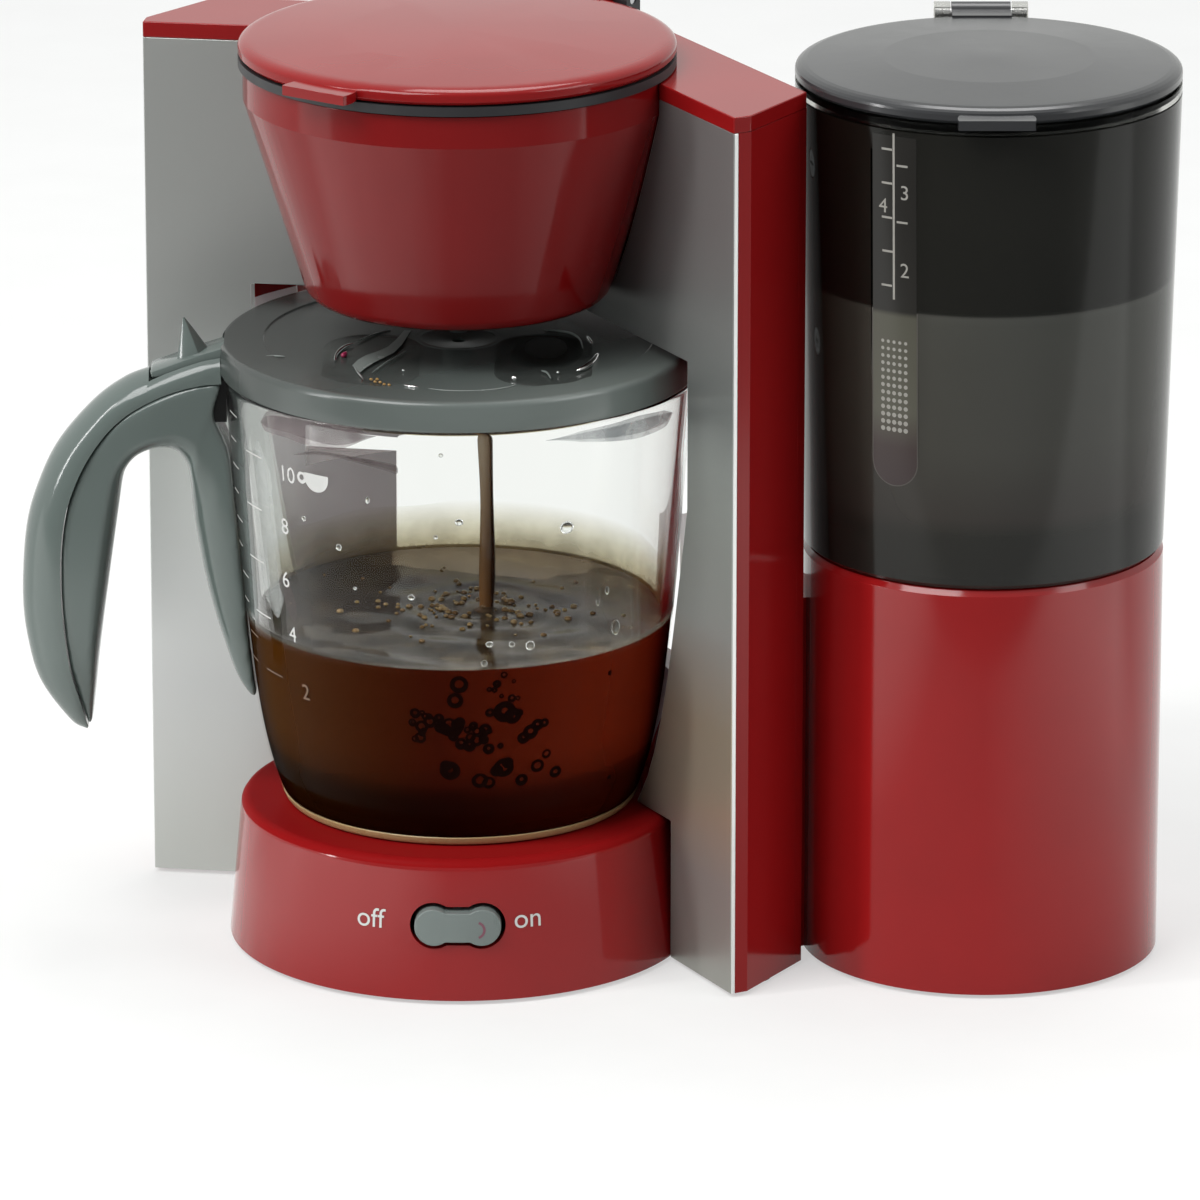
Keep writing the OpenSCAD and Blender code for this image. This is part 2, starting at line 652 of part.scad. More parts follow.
module tank_cup() color([0.2, 0.2, 0.22, 0.5]) at_tank() {
    rotate_extrude() polygon([
        [pipe_bore_r, deck_z - 3], [outlet_r, deck_z - 3], [outlet_r, cup_floor_z - 6],
        [outlet_r + 4, cup_floor_z],
        [tank_at(cup_floor_z) - tank_wall - cup_gap, cup_floor_z],
        [tank_rim_r - tank_wall - cup_gap, tank_h + seat_gap], [tank_rim_r, tank_h + seat_gap],
        [tank_rim_r, tank_h + flange_t],
        [tank_rim_r - 2 * tank_wall - cup_gap, tank_h + flange_t],
        [tank_at(cup_floor_z) - 2 * tank_wall - cup_gap, cup_floor_z + tank_wall],
        [outlet_r, cup_floor_z + tank_wall], [pipe_bore_r, cup_floor_z - 2]]);
    rotate([0, 0, 90]) hinge_ears(tank_rim_r, tank_h + flange_t);
}

// Two ears beside a round flange; the flange's top is at z, its edge at radius r
module hinge_ears(r, z) difference() {
    for (y = [-1, 1]) translate([0, y * (knuckle_w / 2 + 0.2 + ear_w / 2), 0]) {
        translate([r + hinge_out, ear_w / 2, z + hinge_up]) rotate([90, 0, 0])
            cylinder(r = knuckle_r, h = ear_w, $fn = 40);
        translate([r - 2.5, -ear_w / 2, z - flange_t + 0.4])
            cube([hinge_out + 2.5 + knuckle_r * 0.7, ear_w, flange_t - 0.5]);
        translate([r + hinge_out - knuckle_r, -ear_w / 2, z - flange_t + 0.4])
            cube([2 * knuckle_r, ear_w, hinge_up + flange_t - 0.4]);
    }
    translate([r + hinge_out, far / 2, z + hinge_up]) rotate([90, 0, 0])
        cylinder(r = lid_pin_r, h = far, $fn = 40);
}

// Knuckle of a lid that turns between those ears, and the neck that joins it
module hinge_knuckle(r, z) difference() {
    union() {
        translate([r + hinge_out, knuckle_w / 2, z + hinge_up]) rotate([90, 0, 0])
            cylinder(r = knuckle_r, h = knuckle_w, $fn = 40);
        translate([r - 3, -knuckle_w / 2, z + hinge_up - 1.2]) cube([hinge_out + 3, knuckle_w, 2.4]);
    }
    translate([r + hinge_out, far / 2, z + hinge_up]) rotate([90, 0, 0])
        cylinder(r = lid_pin_r + run_gap, h = far, $fn = 40);
}

module hinge_pin(r, z) translate([r + hinge_out, knuckle_w / 2 + ear_w, z + hinge_up])
    rotate([90, 0, 0]) cylinder(r = lid_pin_r, h = knuckle_w + 2 * ear_w, $fn = 40);

// Round lid with a low dome, a lifting tab in front and a rim that centres it
module hinged_lid(r, z, rim_r) {
    difference() {
        union() {
            rotate_extrude() polygon(concat(
                [[0, z], [r - 0.5, z], [r, z + 0.6], [r, z + 1.6]],
                [for (i = [1:5]) let (a = 90 * i / 5)
                    [r - 3 + 3 * cos(a), z + 1.6 + 1.4 * sin(a)]],
                [[r * 0.55, z + 3.8], [0, z + 4.2]]));
            difference() {
                translate([0, 0, z - 3.5]) cylinder(r = rim_r, h = 4);
                translate([0, 0, z - 4]) cylinder(r = rim_r - 1.4, h = 5);
            }
        }
        translate([0, 0, z - eps]) cylinder(r = rim_r - 1.4, h = 1.6);
    }
    intersection() {
        translate([-r - 2.4, 0, z]) cylinder(r = 7, h = 1.8, $fn = 48);
        translate([-r - tab_out, -far / 2, z]) cube([tab_out + 1, far, 3]);
    }
    hinge_knuckle(r, z - seat_gap);
}

module tank_lid() color([0.25, 0.25, 0.27]) at_tank() rotate([0, 0, 90])
    hinged_lid(tank_rim_r, tank_lid_z, tank_rim_r - 2 * tank_wall - cup_gap - 0.5);

module tank_lid_pin() color("lightgray") at_tank() rotate([0, 0, 90])
    hinge_pin(tank_rim_r, tank_h + flange_t);

// ---------- water pipe ----------

// Corners of the pipe: under the dock, in the bridge, in the housing, under and above the riser,
// and beside the cone
pipe_pts = [[tank_x, tank_y, pipe_low_z], [each on_right(pipe_bend_s, pipe_bend_d), pipe_low_z],
    [each on_right(pipe_bend_s, pipe_knee_d), pipe_low_z], [each on_right(riser_s, riser_d), pipe_low_z],
    [each on_right(riser_s, riser_d), pipe_high_z], [each on_right(pipe_top_s, pipe_knee_d), pipe_high_z]];
pipe_start = [tank_x, tank_y, deck_z - dock_depth + wall];
pipe_end = let (p = pipe_pts[5], k = (cone_at(pipe_high_z) - cone_wall) / norm([p[0], p[1]]))
    [p[0] * k, p[1] * k, pipe_high_z];

module pipe_row(i, r) rod(pipe_pts[i], pipe_pts[i + 1], r);

module pipe_line(r, more) sweep(concat([pipe_start + [0, 0, more]], pipe_pts,
    [pipe_end - more * unit(pipe_pts[5] - pipe_end)]), r);

module water_pipe() color("gainsboro") difference() {
    pipe_line(pipe_r, 0);
    pipe_line(pipe_bore_r, 1);
}

// ---------- filter ----------

module filter_holder() color("firebrick") difference() {
    cone_body(0);
    rotate_extrude() polygon([
        [0, cone_floor_z], [cone_at(cone_floor_z) - cone_wall - 1, cone_floor_z],
        [cone_at(cone_floor_z + 1) - cone_wall, cone_floor_z + 1],
        [collar_r - cone_wall, collar_z], [collar_r - cone_wall, housing_h + 1], [0, housing_h + 1]]);
    translate([0, 0, cone_z - 1]) cylinder(r = valve_r + run_gap, h = 10, $fn = 64);
    rotate([0, 0, pipe_turn]) translate([20, 0, pipe_high_z]) rotate([0, 90, 0])
        cylinder(r = pipe_r + run_gap, h = far, $fn = 40);
}

module valve_retainer() color("dimgray") difference() {
    translate([0, 0, retainer_z]) cylinder(r = retainer_r, h = retainer_t);
    translate([0, 0, retainer_z - 1]) cylinder(r = valve_r + run_gap, h = 5, $fn = 64);
    for (a = [0:60:300]) rotate([0, 0, a + 30]) translate([15, 0, retainer_z - 1])
        cylinder(r = 4.5, h = 5, $fn = 48);
}

module drip_valve() color("gray") {
    translate([0, 0, valve_tip_z]) cylinder(r1 = valve_r - 1, r2 = valve_r, h = 1);
    translate([0, 0, valve_tip_z + 1])
        cylinder(r = valve_r, h = retainer_z + retainer_t - valve_tip_z - 2, $fn = 64);
    translate([0, 0, valve_head_z]) cylinder(r = valve_head_r, h = valve_head_t);
}

// Compression spring between the valve's head and the retainer
module valve_spring() color("lightgray") {
    steps = spring_turns * 14;
    loft([for (k = [0:steps]) let (
            a = k * 360 * spring_turns / steps,
            z = spring_z0 + (spring_z1 - spring_z0) * k / steps)
        [for (q = [0:45:315]) let (rr = spring_r + spring_wire_r * cos(q))
            [rr * cos(a), rr * sin(a), z - spring_wire_r * sin(q)]]]);
}

basket_inset = 0.6;
function out_at(z) = cone_at(z) - cone_wall - basket_inset;

module filter_basket() color("dimgray") {
    difference() {
        union() {
            rotate_extrude() polygon([
                [0, basket_z], [out_at(basket_z), basket_z], [out_at(collar_z), collar_z],
                [out_at(collar_z), housing_h + seat_gap], [basket_flange_r, housing_h + seat_gap],
                [basket_flange_r, housing_h + flange_t],
                [out_at(collar_z) - basket_wall, housing_h + flange_t],
                [out_at(collar_z) - basket_wall, collar_z],
                [out_at(basket_z) - basket_wall, basket_z + basket_wall], [0, basket_z + basket_wall]]);
            for (i = [0:basket_ribs - 1]) rotate([0, 0, 360 * i / basket_ribs]) rotate([90, 0, 0])
                translate([0, 0, -0.5]) linear_extrude(1) polygon([
                    [out_at(basket_z) - 7, basket_z + 0.5], [out_at(basket_z) - 0.5, basket_z + 0.5],
                    [out_at(collar_z) - 0.5, collar_z], [out_at(collar_z) - basket_wall - 1, collar_z]]);
            rotate([0, 0, filter_hinge_turn]) hinge_ears(basket_flange_r, housing_h + flange_t);
        }
        for (a = [0:45:315]) rotate([0, 0, a + 22.5]) translate([12, 0, basket_z - 1])
            cylinder(r = 1.6, h = 5, $fn = 32);
        translate([0, 0, basket_z - 1]) cylinder(r = 2.4, h = 5, $fn = 40);
    }
}

module filter_lid() color("firebrick") rotate([0, 0, filter_hinge_turn])
    hinged_lid(basket_flange_r, filter_lid_z, collar_r - cone_wall - basket_wall - 1.2);

module filter_lid_pin() color("lightgray") rotate([0, 0, filter_hinge_turn])
    hinge_pin(basket_flange_r, housing_h + flange_t);

// ---------- jug ----------

jug_steps = 16;
function jug_wall_pts(g) = [for (i = [0:jug_steps])
    let (h = foot_ring_h + i * (jug_h - foot_ring_h) / jug_steps)
    [jug_r(h) - g, jug_z + h]];

module jug_glass() color([0.9, 0.95, 0.95, 0.35]) rotate_extrude() polygon(concat(
    [[0, jug_z + 0.6], [jug_foot_r - 3, jug_z + 0.6], [jug_foot_r - 2.4, jug_z],
        [jug_foot_r - 0.6, jug_z], [jug_foot_r, jug_z + 0.4]],
    jug_wall_pts(0),
    [for (i = [jug_steps:-1:1]) jug_wall_pts(jug_wall)[i]],
    [[jug_r(3) - jug_wall - 2, jug_z + 3.6], [0, jug_z + 3]]));

// Cross-section of the handle between an outer and an inner point, as a rounded ring
function d_ring(seam, back, w) = [for (a = [90:-15:-90])
    let (k = pow(cos(a), 0.8), p = seam + (back - seam) * k) [p[0], w / 2 * sin(a), p[1]]];
function slab_ring(out, inn, w) = concat(
    [for (a = [-90:22.5:90]) let (k = 0.72 + 0.28 * cos(a), p = out + (inn - out) * k)
        [p[0], w / 2 * sin(a), p[1]]],
    [for (q = [[0.02, w / 2], [0, w / 2 - 0.8], [0, 0.8 - w / 2], [0.02, -w / 2]])
        let (p = out + (inn - out) * q[0]) [p[0], q[1], p[1]]]);

module handle_shell() color("slategray") {
    seam = smooth(handle_seam, 3);
    back = smooth(handle_out, 3);
    n = len(seam) - 1;
    loft([for (i = [0:n]) let (t = i / n, w = handle_w * (0.32 + 0.68 * sin(min(90, 15 + 300 * t))
            - 0.16 * max(0, t - 0.7) / 0.3),
            q = (back[i] - seam[i]) / max(0.5, norm(back[i] - seam[i])))
        d_ring(seam[i] + q * seam_gap, back[i], w)]);
}

module handle_core() color("slategray") {
    n = 3;
    out = concat(smooth(handle_seam, n), [for (i = [1:n * (len(arm_top) - 1)]) smooth(arm_top, n)[i]]);
    inn = concat(smooth(handle_in, n), [for (i = [1:n * (len(arm_low) - 1)]) smooth(arm_low, n)[i]]);
    last = len(out) - 1;
    loft([for (i = [0:last]) let (t = i / last,
            w = (handle_w - 2 * core_inset) * (0.3 + 0.7 * sin(min(90, 15 + 450 * t))) - 2 * max(0, t - 0.4) )
        slab_ring(out[i], inn[i], w)]);
    // strap that hugs the jug down to its round tip
    edge = smooth(strap_edge, n);
    m = len(edge) - 1;
    loft([for (i = [0:m]) let (
            z = edge[i][1], t = i / m, r = jug_r(z - jug_z) + seam_gap,
            w = strap_w * (1 - 0.45 * pow(t, 3)),
            top = edge[i][0])
        concat(
            [for (a = [-90:22.5:90]) let (y = w / 2 * sin(a))
                [min(top + (1 - cos(a)) * (-(top + r)) * 0.75, -sqrt(r * r - y * y) - 0.5), y, z]],
            [for (y = [w / 2, w / 4, 0, -w / 4, -w / 2]) [-sqrt(r * r - y * y) , y, z]])]);
}

module hinge_bracket() color("slategray") difference() {
    translate([0, bracket_w / 2, 0]) rotate([90, 0, 0]) linear_extrude(bracket_w) polygon([
        each on_jug([[-56.4, 75], [-53.2, 76.5], [-50, 77.8], [-47, 78.55], [-45.4, 78.9]]),
        [-45.4, lid_pivot[1] + 1.8], [-47.6, lid_pivot[1] + 2.3], [-56.4, lid_pivot[1] + 0.9]]);
    translate([0, (lever_w + 0.8) / 2, 0]) rotate([90, 0, 0]) linear_extrude(lever_w + 0.8) polygon([
        [-57.5, lid_pivot[1] - 0.9], [-52.4, lid_pivot[1] - 0.2], [-51.6, lid_pivot[1] - 2],
        [-45.6, lid_pivot[1] - 1.2], [-44, lid_pivot[1] - 1], [-44, far], [-57.5, far]]);
    translate([lid_pivot[0], (lever_w + 0.8) / 2, lid_pivot[1]]) rotate([90, 0, 0])
        cylinder(r = lid_knuckle_r + 0.4, h = lever_w + 0.8, $fn = 48);
    translate([lid_pivot[0], far / 2, lid_pivot[1]]) rotate([90, 0, 0])
        cylinder(r = pin_r, h = far, $fn = 40);
}

module jug_lid_pin() color("lightgray") translate([lid_pivot[0], bracket_w / 2 - 0.2, lid_pivot[1]])
    rotate([90, 0, 0]) cylinder(r = pin_r, h = bracket_w - 0.4, $fn = 40);

hollow_w = 17;
hollow_len = 34;
hollow_x = 15.7;
hollow_y = -15;
hollow_t = 2.6;
skirt_h = 2;
dish_t = 0.3;
well_r = 7.5;
notch_h = 1.2;
thumb_x = -49.9;
thumb_r = 2.9;
thumb_h = 8.6;

// Plan of one oval hollow in the jug's lid
module hollow_face(g) {
    for (y = [-1, 1]) translate([0, y * (hollow_len - hollow_w) / 2]) circle(r = hollow_w / 2 + g, $fn = 64);
    square([hollow_w + 2 * g, hollow_len - hollow_w], center = true);
}

module jug_lid() color("slategray") difference() {
    union() {
        rotate_extrude() polygon(concat(
            [[0, lid_z], [lid_r - 0.2, lid_z], [lid_r, lid_z + 0.5], [lid_r - 0.3, lid_top_z - 1.2]],
            [for (i = [1:4]) let (a = 90 * i / 4)
                [lid_r - 1.5 + 1.2 * cos(a), lid_top_z - 1.2 + 1.2 * sin(a)]],
            [[36, lid_top_z], [36 - dish_t, lid_top_z - dish_t], [0, lid_top_z - dish_t]]));
        difference() {
            translate([0, 0, lid_z - skirt_h]) cylinder(r1 = jug_r(jug_h - skirt_h) - jug_wall - 1.6,
                r2 = jug_r(jug_h) - jug_wall - 0.6, h = skirt_h + 1);
            translate([0, 0, lid_z - skirt_h - 1]) cylinder(r = jug_r(jug_h - skirt_h) - jug_wall - 3.2,
                h = skirt_h + 1);
        }
        for (x = [-1, 1]) translate([x * hollow_x, hollow_y, lid_top_z - dish_t - hollow_t - 1.4])
            linear_extrude(hollow_t + 1) hollow_face(1.2);
    }
    for (x = [-1, 1]) translate([x * hollow_x, hollow_y, 0]) {
        translate([0, 0, lid_top_z - dish_t - hollow_t]) linear_extrude(far) hollow_face(0);
    }
    translate([0, 0, lid_z - 5]) cylinder(r = 2.6, h = 20, $fn = 40);
    translate([0, 0, lid_top_z - 2.2]) cylinder(r1 = 4, r2 = well_r, h = 2.3);
    translate([-lid_r - 1, -lever_w / 2 - seam_gap, lid_z + notch_h])
        cube([2.02, lever_w + 2 * seam_gap, far]);
}

module lid_lever() color("slategray") difference() {
    union() {
        translate([0, lever_w / 2, 0]) rotate([90, 0, 0]) linear_extrude(lever_w) polygon([
            [-56.6, lid_pivot[1] + 1.4], [-52, lid_pivot[1] + 1.6], [-45, lid_pivot[1] + 1.6],
            [-lid_r - 0.5, lid_z + notch_h], [-lid_r + 0.9, lid_z + notch_h],
            [-lid_r + 0.9, lid_top_z - 0.9], [-47, lid_top_z - 1.2],
            [-52, lid_top_z - 2.4], [-56.6, lid_pivot[1] + 3.2]]);
        translate([thumb_x, 0, lid_pivot[1] + 2]) cylinder(r1 = thumb_r, r2 = 0.3, h = thumb_h, $fn = 40);
        translate([lid_pivot[0], lever_knuckle_w / 2, lid_pivot[1]]) rotate([90, 0, 0])
            cylinder(r = lid_knuckle_r, h = lever_knuckle_w, $fn = 48);
    }
    translate([lid_pivot[0], far / 2, lid_pivot[1]]) rotate([90, 0, 0])
        cylinder(r = pin_r + run_gap, h = far, $fn = 40);
}

// ---------- feet and screws ----------

module rubber_feet() color("black") translate([0, 0, -foot_h]) {
    for (a = base_boss_turns) rotate([0, 0, a + 22]) translate([base_boss_r0 - 1, 0, 0])
        cylinder(r = foot_r, h = foot_h + plate_z, $fn = 48);
    at_tank() for (a = tank_boss_turns) rotate([0, 0, a + 40]) translate([tank_boss_r0 - 1.5, 0, 0])
        cylinder(r = foot_r, h = foot_h + plate_z, $fn = 48);
    for (p = [on_left(left_reach - 10, 9), on_right(right_reach - 9, 9)])
        translate([each p, 0]) cylinder(r = foot_r, h = foot_h, $fn = 48);
}

module case_screws() color("lightgray") {
    at_back_bosses() translate([0, 0, -head_sink]) screw();
    at_base_bosses() translate([0, 0, plate_z + head_sink]) rotate([180, 0, 0]) screw();
    at_tank_bosses() translate([0, 0, plate_z + head_sink]) rotate([180, 0, 0]) screw();
}

place() {
    housing_shell();
    front_panel();
    back_cover();
    top_cover();
    base_shell();
    base_plate();
    tank_pedestal();
    pedestal_plate();
    rubber_feet();
    case_screws();
    filter_holder();
    valve_retainer();
    drip_valve();
    valve_spring();
    water_pipe();
    dock_seal();
    switch_rocker();
    switch_pin();
    filter_basket();
    filter_lid();
    filter_lid_pin();
    tank_sleeve();
    tank_cup();
    tank_lid();
    tank_lid_pin();
    jug_glass();
    handle_core();
    handle_shell();
    hinge_bracket();
    jug_lid();
    lid_lever();
    jug_lid_pin();
}
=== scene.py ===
"""Looks of the toy coffee maker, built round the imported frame.

Lengths are in millimetres round the jug's upright axis, with z = 0 at the
underside of the housing; W() turns them into the frame's metres. Names that
end in _PX hold pixels of the 1200-pixel picture, and unproject() and the
functions built on it find the places that the camera sees there.
"""
import json
import math
import random

import bmesh
import bpy
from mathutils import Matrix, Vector


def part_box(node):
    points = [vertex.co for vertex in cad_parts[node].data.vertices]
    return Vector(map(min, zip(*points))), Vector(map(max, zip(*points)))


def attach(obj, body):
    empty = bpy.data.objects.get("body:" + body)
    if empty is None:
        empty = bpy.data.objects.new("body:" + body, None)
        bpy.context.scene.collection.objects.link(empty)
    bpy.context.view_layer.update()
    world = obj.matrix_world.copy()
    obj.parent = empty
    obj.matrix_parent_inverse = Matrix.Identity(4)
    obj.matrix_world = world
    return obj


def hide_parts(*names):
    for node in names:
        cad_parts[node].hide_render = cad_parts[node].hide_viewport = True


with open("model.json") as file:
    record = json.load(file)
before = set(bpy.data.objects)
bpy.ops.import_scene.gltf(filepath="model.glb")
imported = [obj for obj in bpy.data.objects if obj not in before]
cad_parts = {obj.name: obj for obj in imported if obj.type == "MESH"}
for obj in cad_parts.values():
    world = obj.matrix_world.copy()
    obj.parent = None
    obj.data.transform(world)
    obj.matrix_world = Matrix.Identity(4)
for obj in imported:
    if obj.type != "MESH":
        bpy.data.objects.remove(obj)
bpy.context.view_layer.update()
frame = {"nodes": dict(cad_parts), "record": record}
NODES = frame["nodes"]

_lo, _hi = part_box("jug_glass")
AX, AY = (_lo.x + _hi.x) / 2, (_lo.y + _hi.y) / 2
Z0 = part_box("housing_shell")[0].z
sin, cos, rad, sqrt, pi = math.sin, math.cos, math.radians, math.sqrt, math.pi


def W(x, y, z):
    return Vector((AX + x / 1000, AY + y / 1000, Z0 + z / 1000))


# ---------- sizes shared with the part's source ----------

BASE_H, BASE_R, BASE_TOP_R = 26.3, 43.2, 41.0
JUG_Z, JUG_H, JUG_WALL = BASE_H + 0.2, 82.0, 2.0
JUG_FOOT_R, JUG_TAPER, JUG_FLARE = 32.6, 6.1, 4.6
LID_GAP, LID_T = 0.2, 5.6
LID_TOP = JUG_Z + JUG_H + LID_GAP + LID_T
LID_FACE = LID_TOP - 0.26
HOUSING_H = (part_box("top_cover")[1].z - Z0) * 1000
TANK = (96.6, -6.7)
TANK_R, TANK_RIM_R, PED_H = 33.2, 35.2, 77.5
TANK_H = HOUSING_H - 3
STRIP_TURN = 0.6 - 31.6


def jug_r(h):
    """The jug's outer radius at a height above its foot."""
    return JUG_FOOT_R + JUG_TAPER * h / JUG_H + JUG_FLARE * (1 - math.exp(-7 * h / JUG_H))


def base_at(z):
    return BASE_R - (BASE_R - BASE_TOP_R) * z / BASE_H


def tank_at(z):
    return TANK_R + (TANK_RIM_R - TANK_R) / (TANK_H - PED_H) * max(0, z - PED_H)


def link(name, data):
    """An object with the given data, in the scene."""
    ob = bpy.data.objects.new(name, data)
    bpy.context.scene.collection.objects.link(ob)
    return ob


# ---------- the camera, and what it sees at a pixel ----------

CAMERA, CAMERA_TILT, LENS, SENSOR = (26.0, -1685.2, 595.1), 72.49, 285.8, 36
TILT_SIN, TILT_COS = 0.3009, 0.9537
FOCAL_PX, MID_PX = 9527.4, 600
# height that a ray through the picture's middle loses per depth
LOOK_SLOPE = 0.3155


def camera():
    cam = bpy.data.cameras.new("main")
    cam.lens = LENS
    cam.sensor_width = SENSOR
    cam.clip_end = 50
    ob = link("main", cam)
    ob.location = W(*CAMERA)
    ob.rotation_euler = (rad(CAMERA_TILT), 0, 0)
    bpy.context.scene.camera = ob


def unproject(px, py, y):
    """x and height of the point at depth y that the camera sees at a pixel."""
    ahead = y - CAMERA[1]
    up, along = TILT_SIN * ahead, TILT_COS * ahead
    k = (MID_PX - py) / FOCAL_PX
    drop = (up - k * along) / (TILT_COS + TILT_SIN * k)
    depth = along + TILT_SIN * drop
    return CAMERA[0] + (px - MID_PX) * depth / FOCAL_PX, CAMERA[2] - drop


def jug_hit(px, py, inset=0.0, y=-30.0, rounds=8):
    """x, y, height and radius where a pixel's ray meets the jug's front, or a wall inset from it."""
    for _ in range(rounds):
        x, z = unproject(px, py, y)
        r = jug_r(z - JUG_Z) - inset
        y = -sqrt(max(1.0, r * r - x * x))
    return x, y, z, r


def jug_spot(px, py):
    """Angle and height of the point on the jug's front that the camera sees at a pixel."""
    x, y, z, _ = jug_hit(px, py)
    return math.degrees(math.atan2(x, -y)), z


def on_lid(px, py, lift=0.05):
    """The point on the lid's upper face that the camera sees at a pixel."""
    y = 0.0
    for _ in range(6):
        y += (unproject(px, py, y)[1] - LID_FACE) / LOOK_SLOPE
    return Vector((unproject(px, py, y)[0], y, LID_FACE + lift))


# ---------- shaders ----------

SHADOW, SOFT_LIGHT = ["Is Shadow Ray"], ["Is Shadow Ray", "Is Diffuse Ray"]
SEEN = ["Is Camera Ray", "Is Transmission Ray"]


def scaled(color, k):
    return tuple(c * k for c in color)


class Shader:
    """A node tree with short calls for its nodes. A node given as a value stands for its first output."""

    def __init__(self, name, world=None):
        self.mat = world or bpy.data.materials.new(name)
        self.mat.use_nodes = True
        self.tree = self.mat.node_tree
        self.tree.nodes.clear()
        self.out = self.tree.nodes.new("ShaderNodeOutputWorld" if world else "ShaderNodeOutputMaterial")

    def node(self, kind, **values):
        """A node: p_NAME sets a property, i3 the fourth input, and any other name the input of that name."""
        n = self.tree.nodes.new("ShaderNode" + kind)
        for key, value in values.items():
            if key.startswith("p_"):
                setattr(n, key[2:], value)
        for key, value in values.items():
            if not key.startswith("p_"):
                self.put(n, key, value)
        return n

    def put(self, n, key, value):
        socket = n.inputs[int(key[1:]) if key[0] == "i" and key[1:].isdigit() else key.replace("_", " ")]
        if isinstance(value, bpy.types.Node):
            value = value.outputs[0]
        if isinstance(value, bpy.types.NodeSocket):
            self.tree.links.new(value, socket)
            return
        if hasattr(socket.default_value, "__len__") and len(socket.default_value) == 4 and len(value) == 3:
            value = (*value, 1)
        socket.default_value = value

    def place(self):
        return self.node("TexCoord").outputs["Object"]

    def xyz(self):
        """Outputs with the shaded point's x, y and z, in metres."""
        return self.node("SeparateXYZ", Vector=self.place()).outputs

    def normal(self):
        return self.node("SeparateXYZ", Vector=self.node("NewGeometry").outputs["Normal"]).outputs

    def noise(self, scale, detail=2.0, rough=0.5):
        return self.node("TexNoise", Vector=self.place(), Scale=scale, Detail=detail, Roughness=rough)

    def ramp(self, fac, stops):
        n = self.node("ValToRGB", i0=fac)
        el = n.color_ramp.elements
        while len(el) > 1:
            el.remove(el[-1])
        el[0].position, el[0].color = stops[0][0], (*stops[0][1], 1)
        for pos, col in stops[1:]:
            el.new(pos).color = (*col, 1)
        return n

    def grey_ramp(self, fac, stops, values):
        return self.ramp(fac, [(stop, (v, v, v)) for stop, v in zip(stops, values)])

    def remap(self, value, a, b, c=0.0, d=1.0):
        return self.node("MapRange", Value=value, From_Min=a, From_Max=b, To_Min=c, To_Max=d)

    def math(self, op, a, b=0.0):
        return self.node("Math", p_operation=op, i0=a, i1=b)

    def product(self, *values):
        total = values[0]
        for value in values[1:]:
            total = self.math("MULTIPLY", total, value)
        return total

    def above(self, value, limit):
        return self.math("GREATER_THAN", value, limit)

    def below(self, value, limit):
        return self.math("LESS_THAN", value, limit)

    def mix(self, fac, a, b, how="MIX"):
        return self.node("Mix", p_data_type="RGBA", p_blend_type=how, i0=fac, i6=a, i7=b).outputs[2]

    def times(self, a, b, amount=1.0):
        return self.mix(amount, a, b, "MULTIPLY")

    def bump(self, height, strength, distance=0.0002):
        return self.node("Bump", Height=height, Strength=strength, Distance=distance)

    def principled(self, **values):
        return self.node("BsdfPrincipled", **values)

    def clear(self, color=(1, 1, 1)):
        return self.node("BsdfTransparent", Color=color)

    def both(self, fac, a, b):
        return self.node("MixShader", i0=fac, i1=a, i2=b)

    def by_ray(self, kinds, a, b):
        """Shader b for the named kinds of ray, and shader a for all others."""
        path = self.node("LightPath").outputs
        hit = path[kinds[0]]
        for kind in kinds[1:]:
            hit = self.math("MAXIMUM", hit, path[kind])
        return self.both(hit, a, b)

    def finish(self, shader, volume=None):
        self.tree.links.new(shader.outputs[0], self.out.inputs["Surface"])
        if volume:
            self.tree.links.new(volume.outputs[0], self.out.inputs["Volume"])
        return self.mat


# ---------- materials ----------


def plastic(name, color, rough, peel=0.06, tone=0.06, metallic=0.0, scale=900.0, spec=0.5):
    """Moulded plastic: faint colour drift, uneven gloss and a fine orange peel."""
    s = Shader(name)
    drift = s.remap(s.noise(35.0, 3.0), 0.3, 0.7)
    mixed = s.mix(drift, scaled(color, 1 - tone), tuple(min(1, c * (1 + tone)) for c in color))
    gloss = s.remap(s.noise(120.0, 4.0, 0.6), 0.3, 0.75, rough * 0.88, rough * 1.15)
    return s.finish(s.principled(Base_Color=mixed, Roughness=gloss, Metallic=metallic, Specular_IOR_Level=spec,
        Normal=s.bump(s.noise(scale, 3.0), peel)))


def clear(name, tint, rough=0.0, ior=1.49, shadow=(1, 1, 1), shine=1.0, wavy=0.05):
    """Transparent plastic that lets light through to what stands behind it."""
    s = Shader(name)
    haze = s.remap(s.noise(260.0, 5.0, 0.65), 0.45, 0.75, rough, rough + 0.03)
    seen = s.principled(Base_Color=tint, Transmission_Weight=1.0, IOR=ior, Roughness=haze,
        Specular_Tint=(shine, shine, shine), Normal=s.bump(s.noise(60.0), wavy, 0.0003))
    return s.finish(s.by_ray(SOFT_LIGHT, seen, s.clear(shadow)))


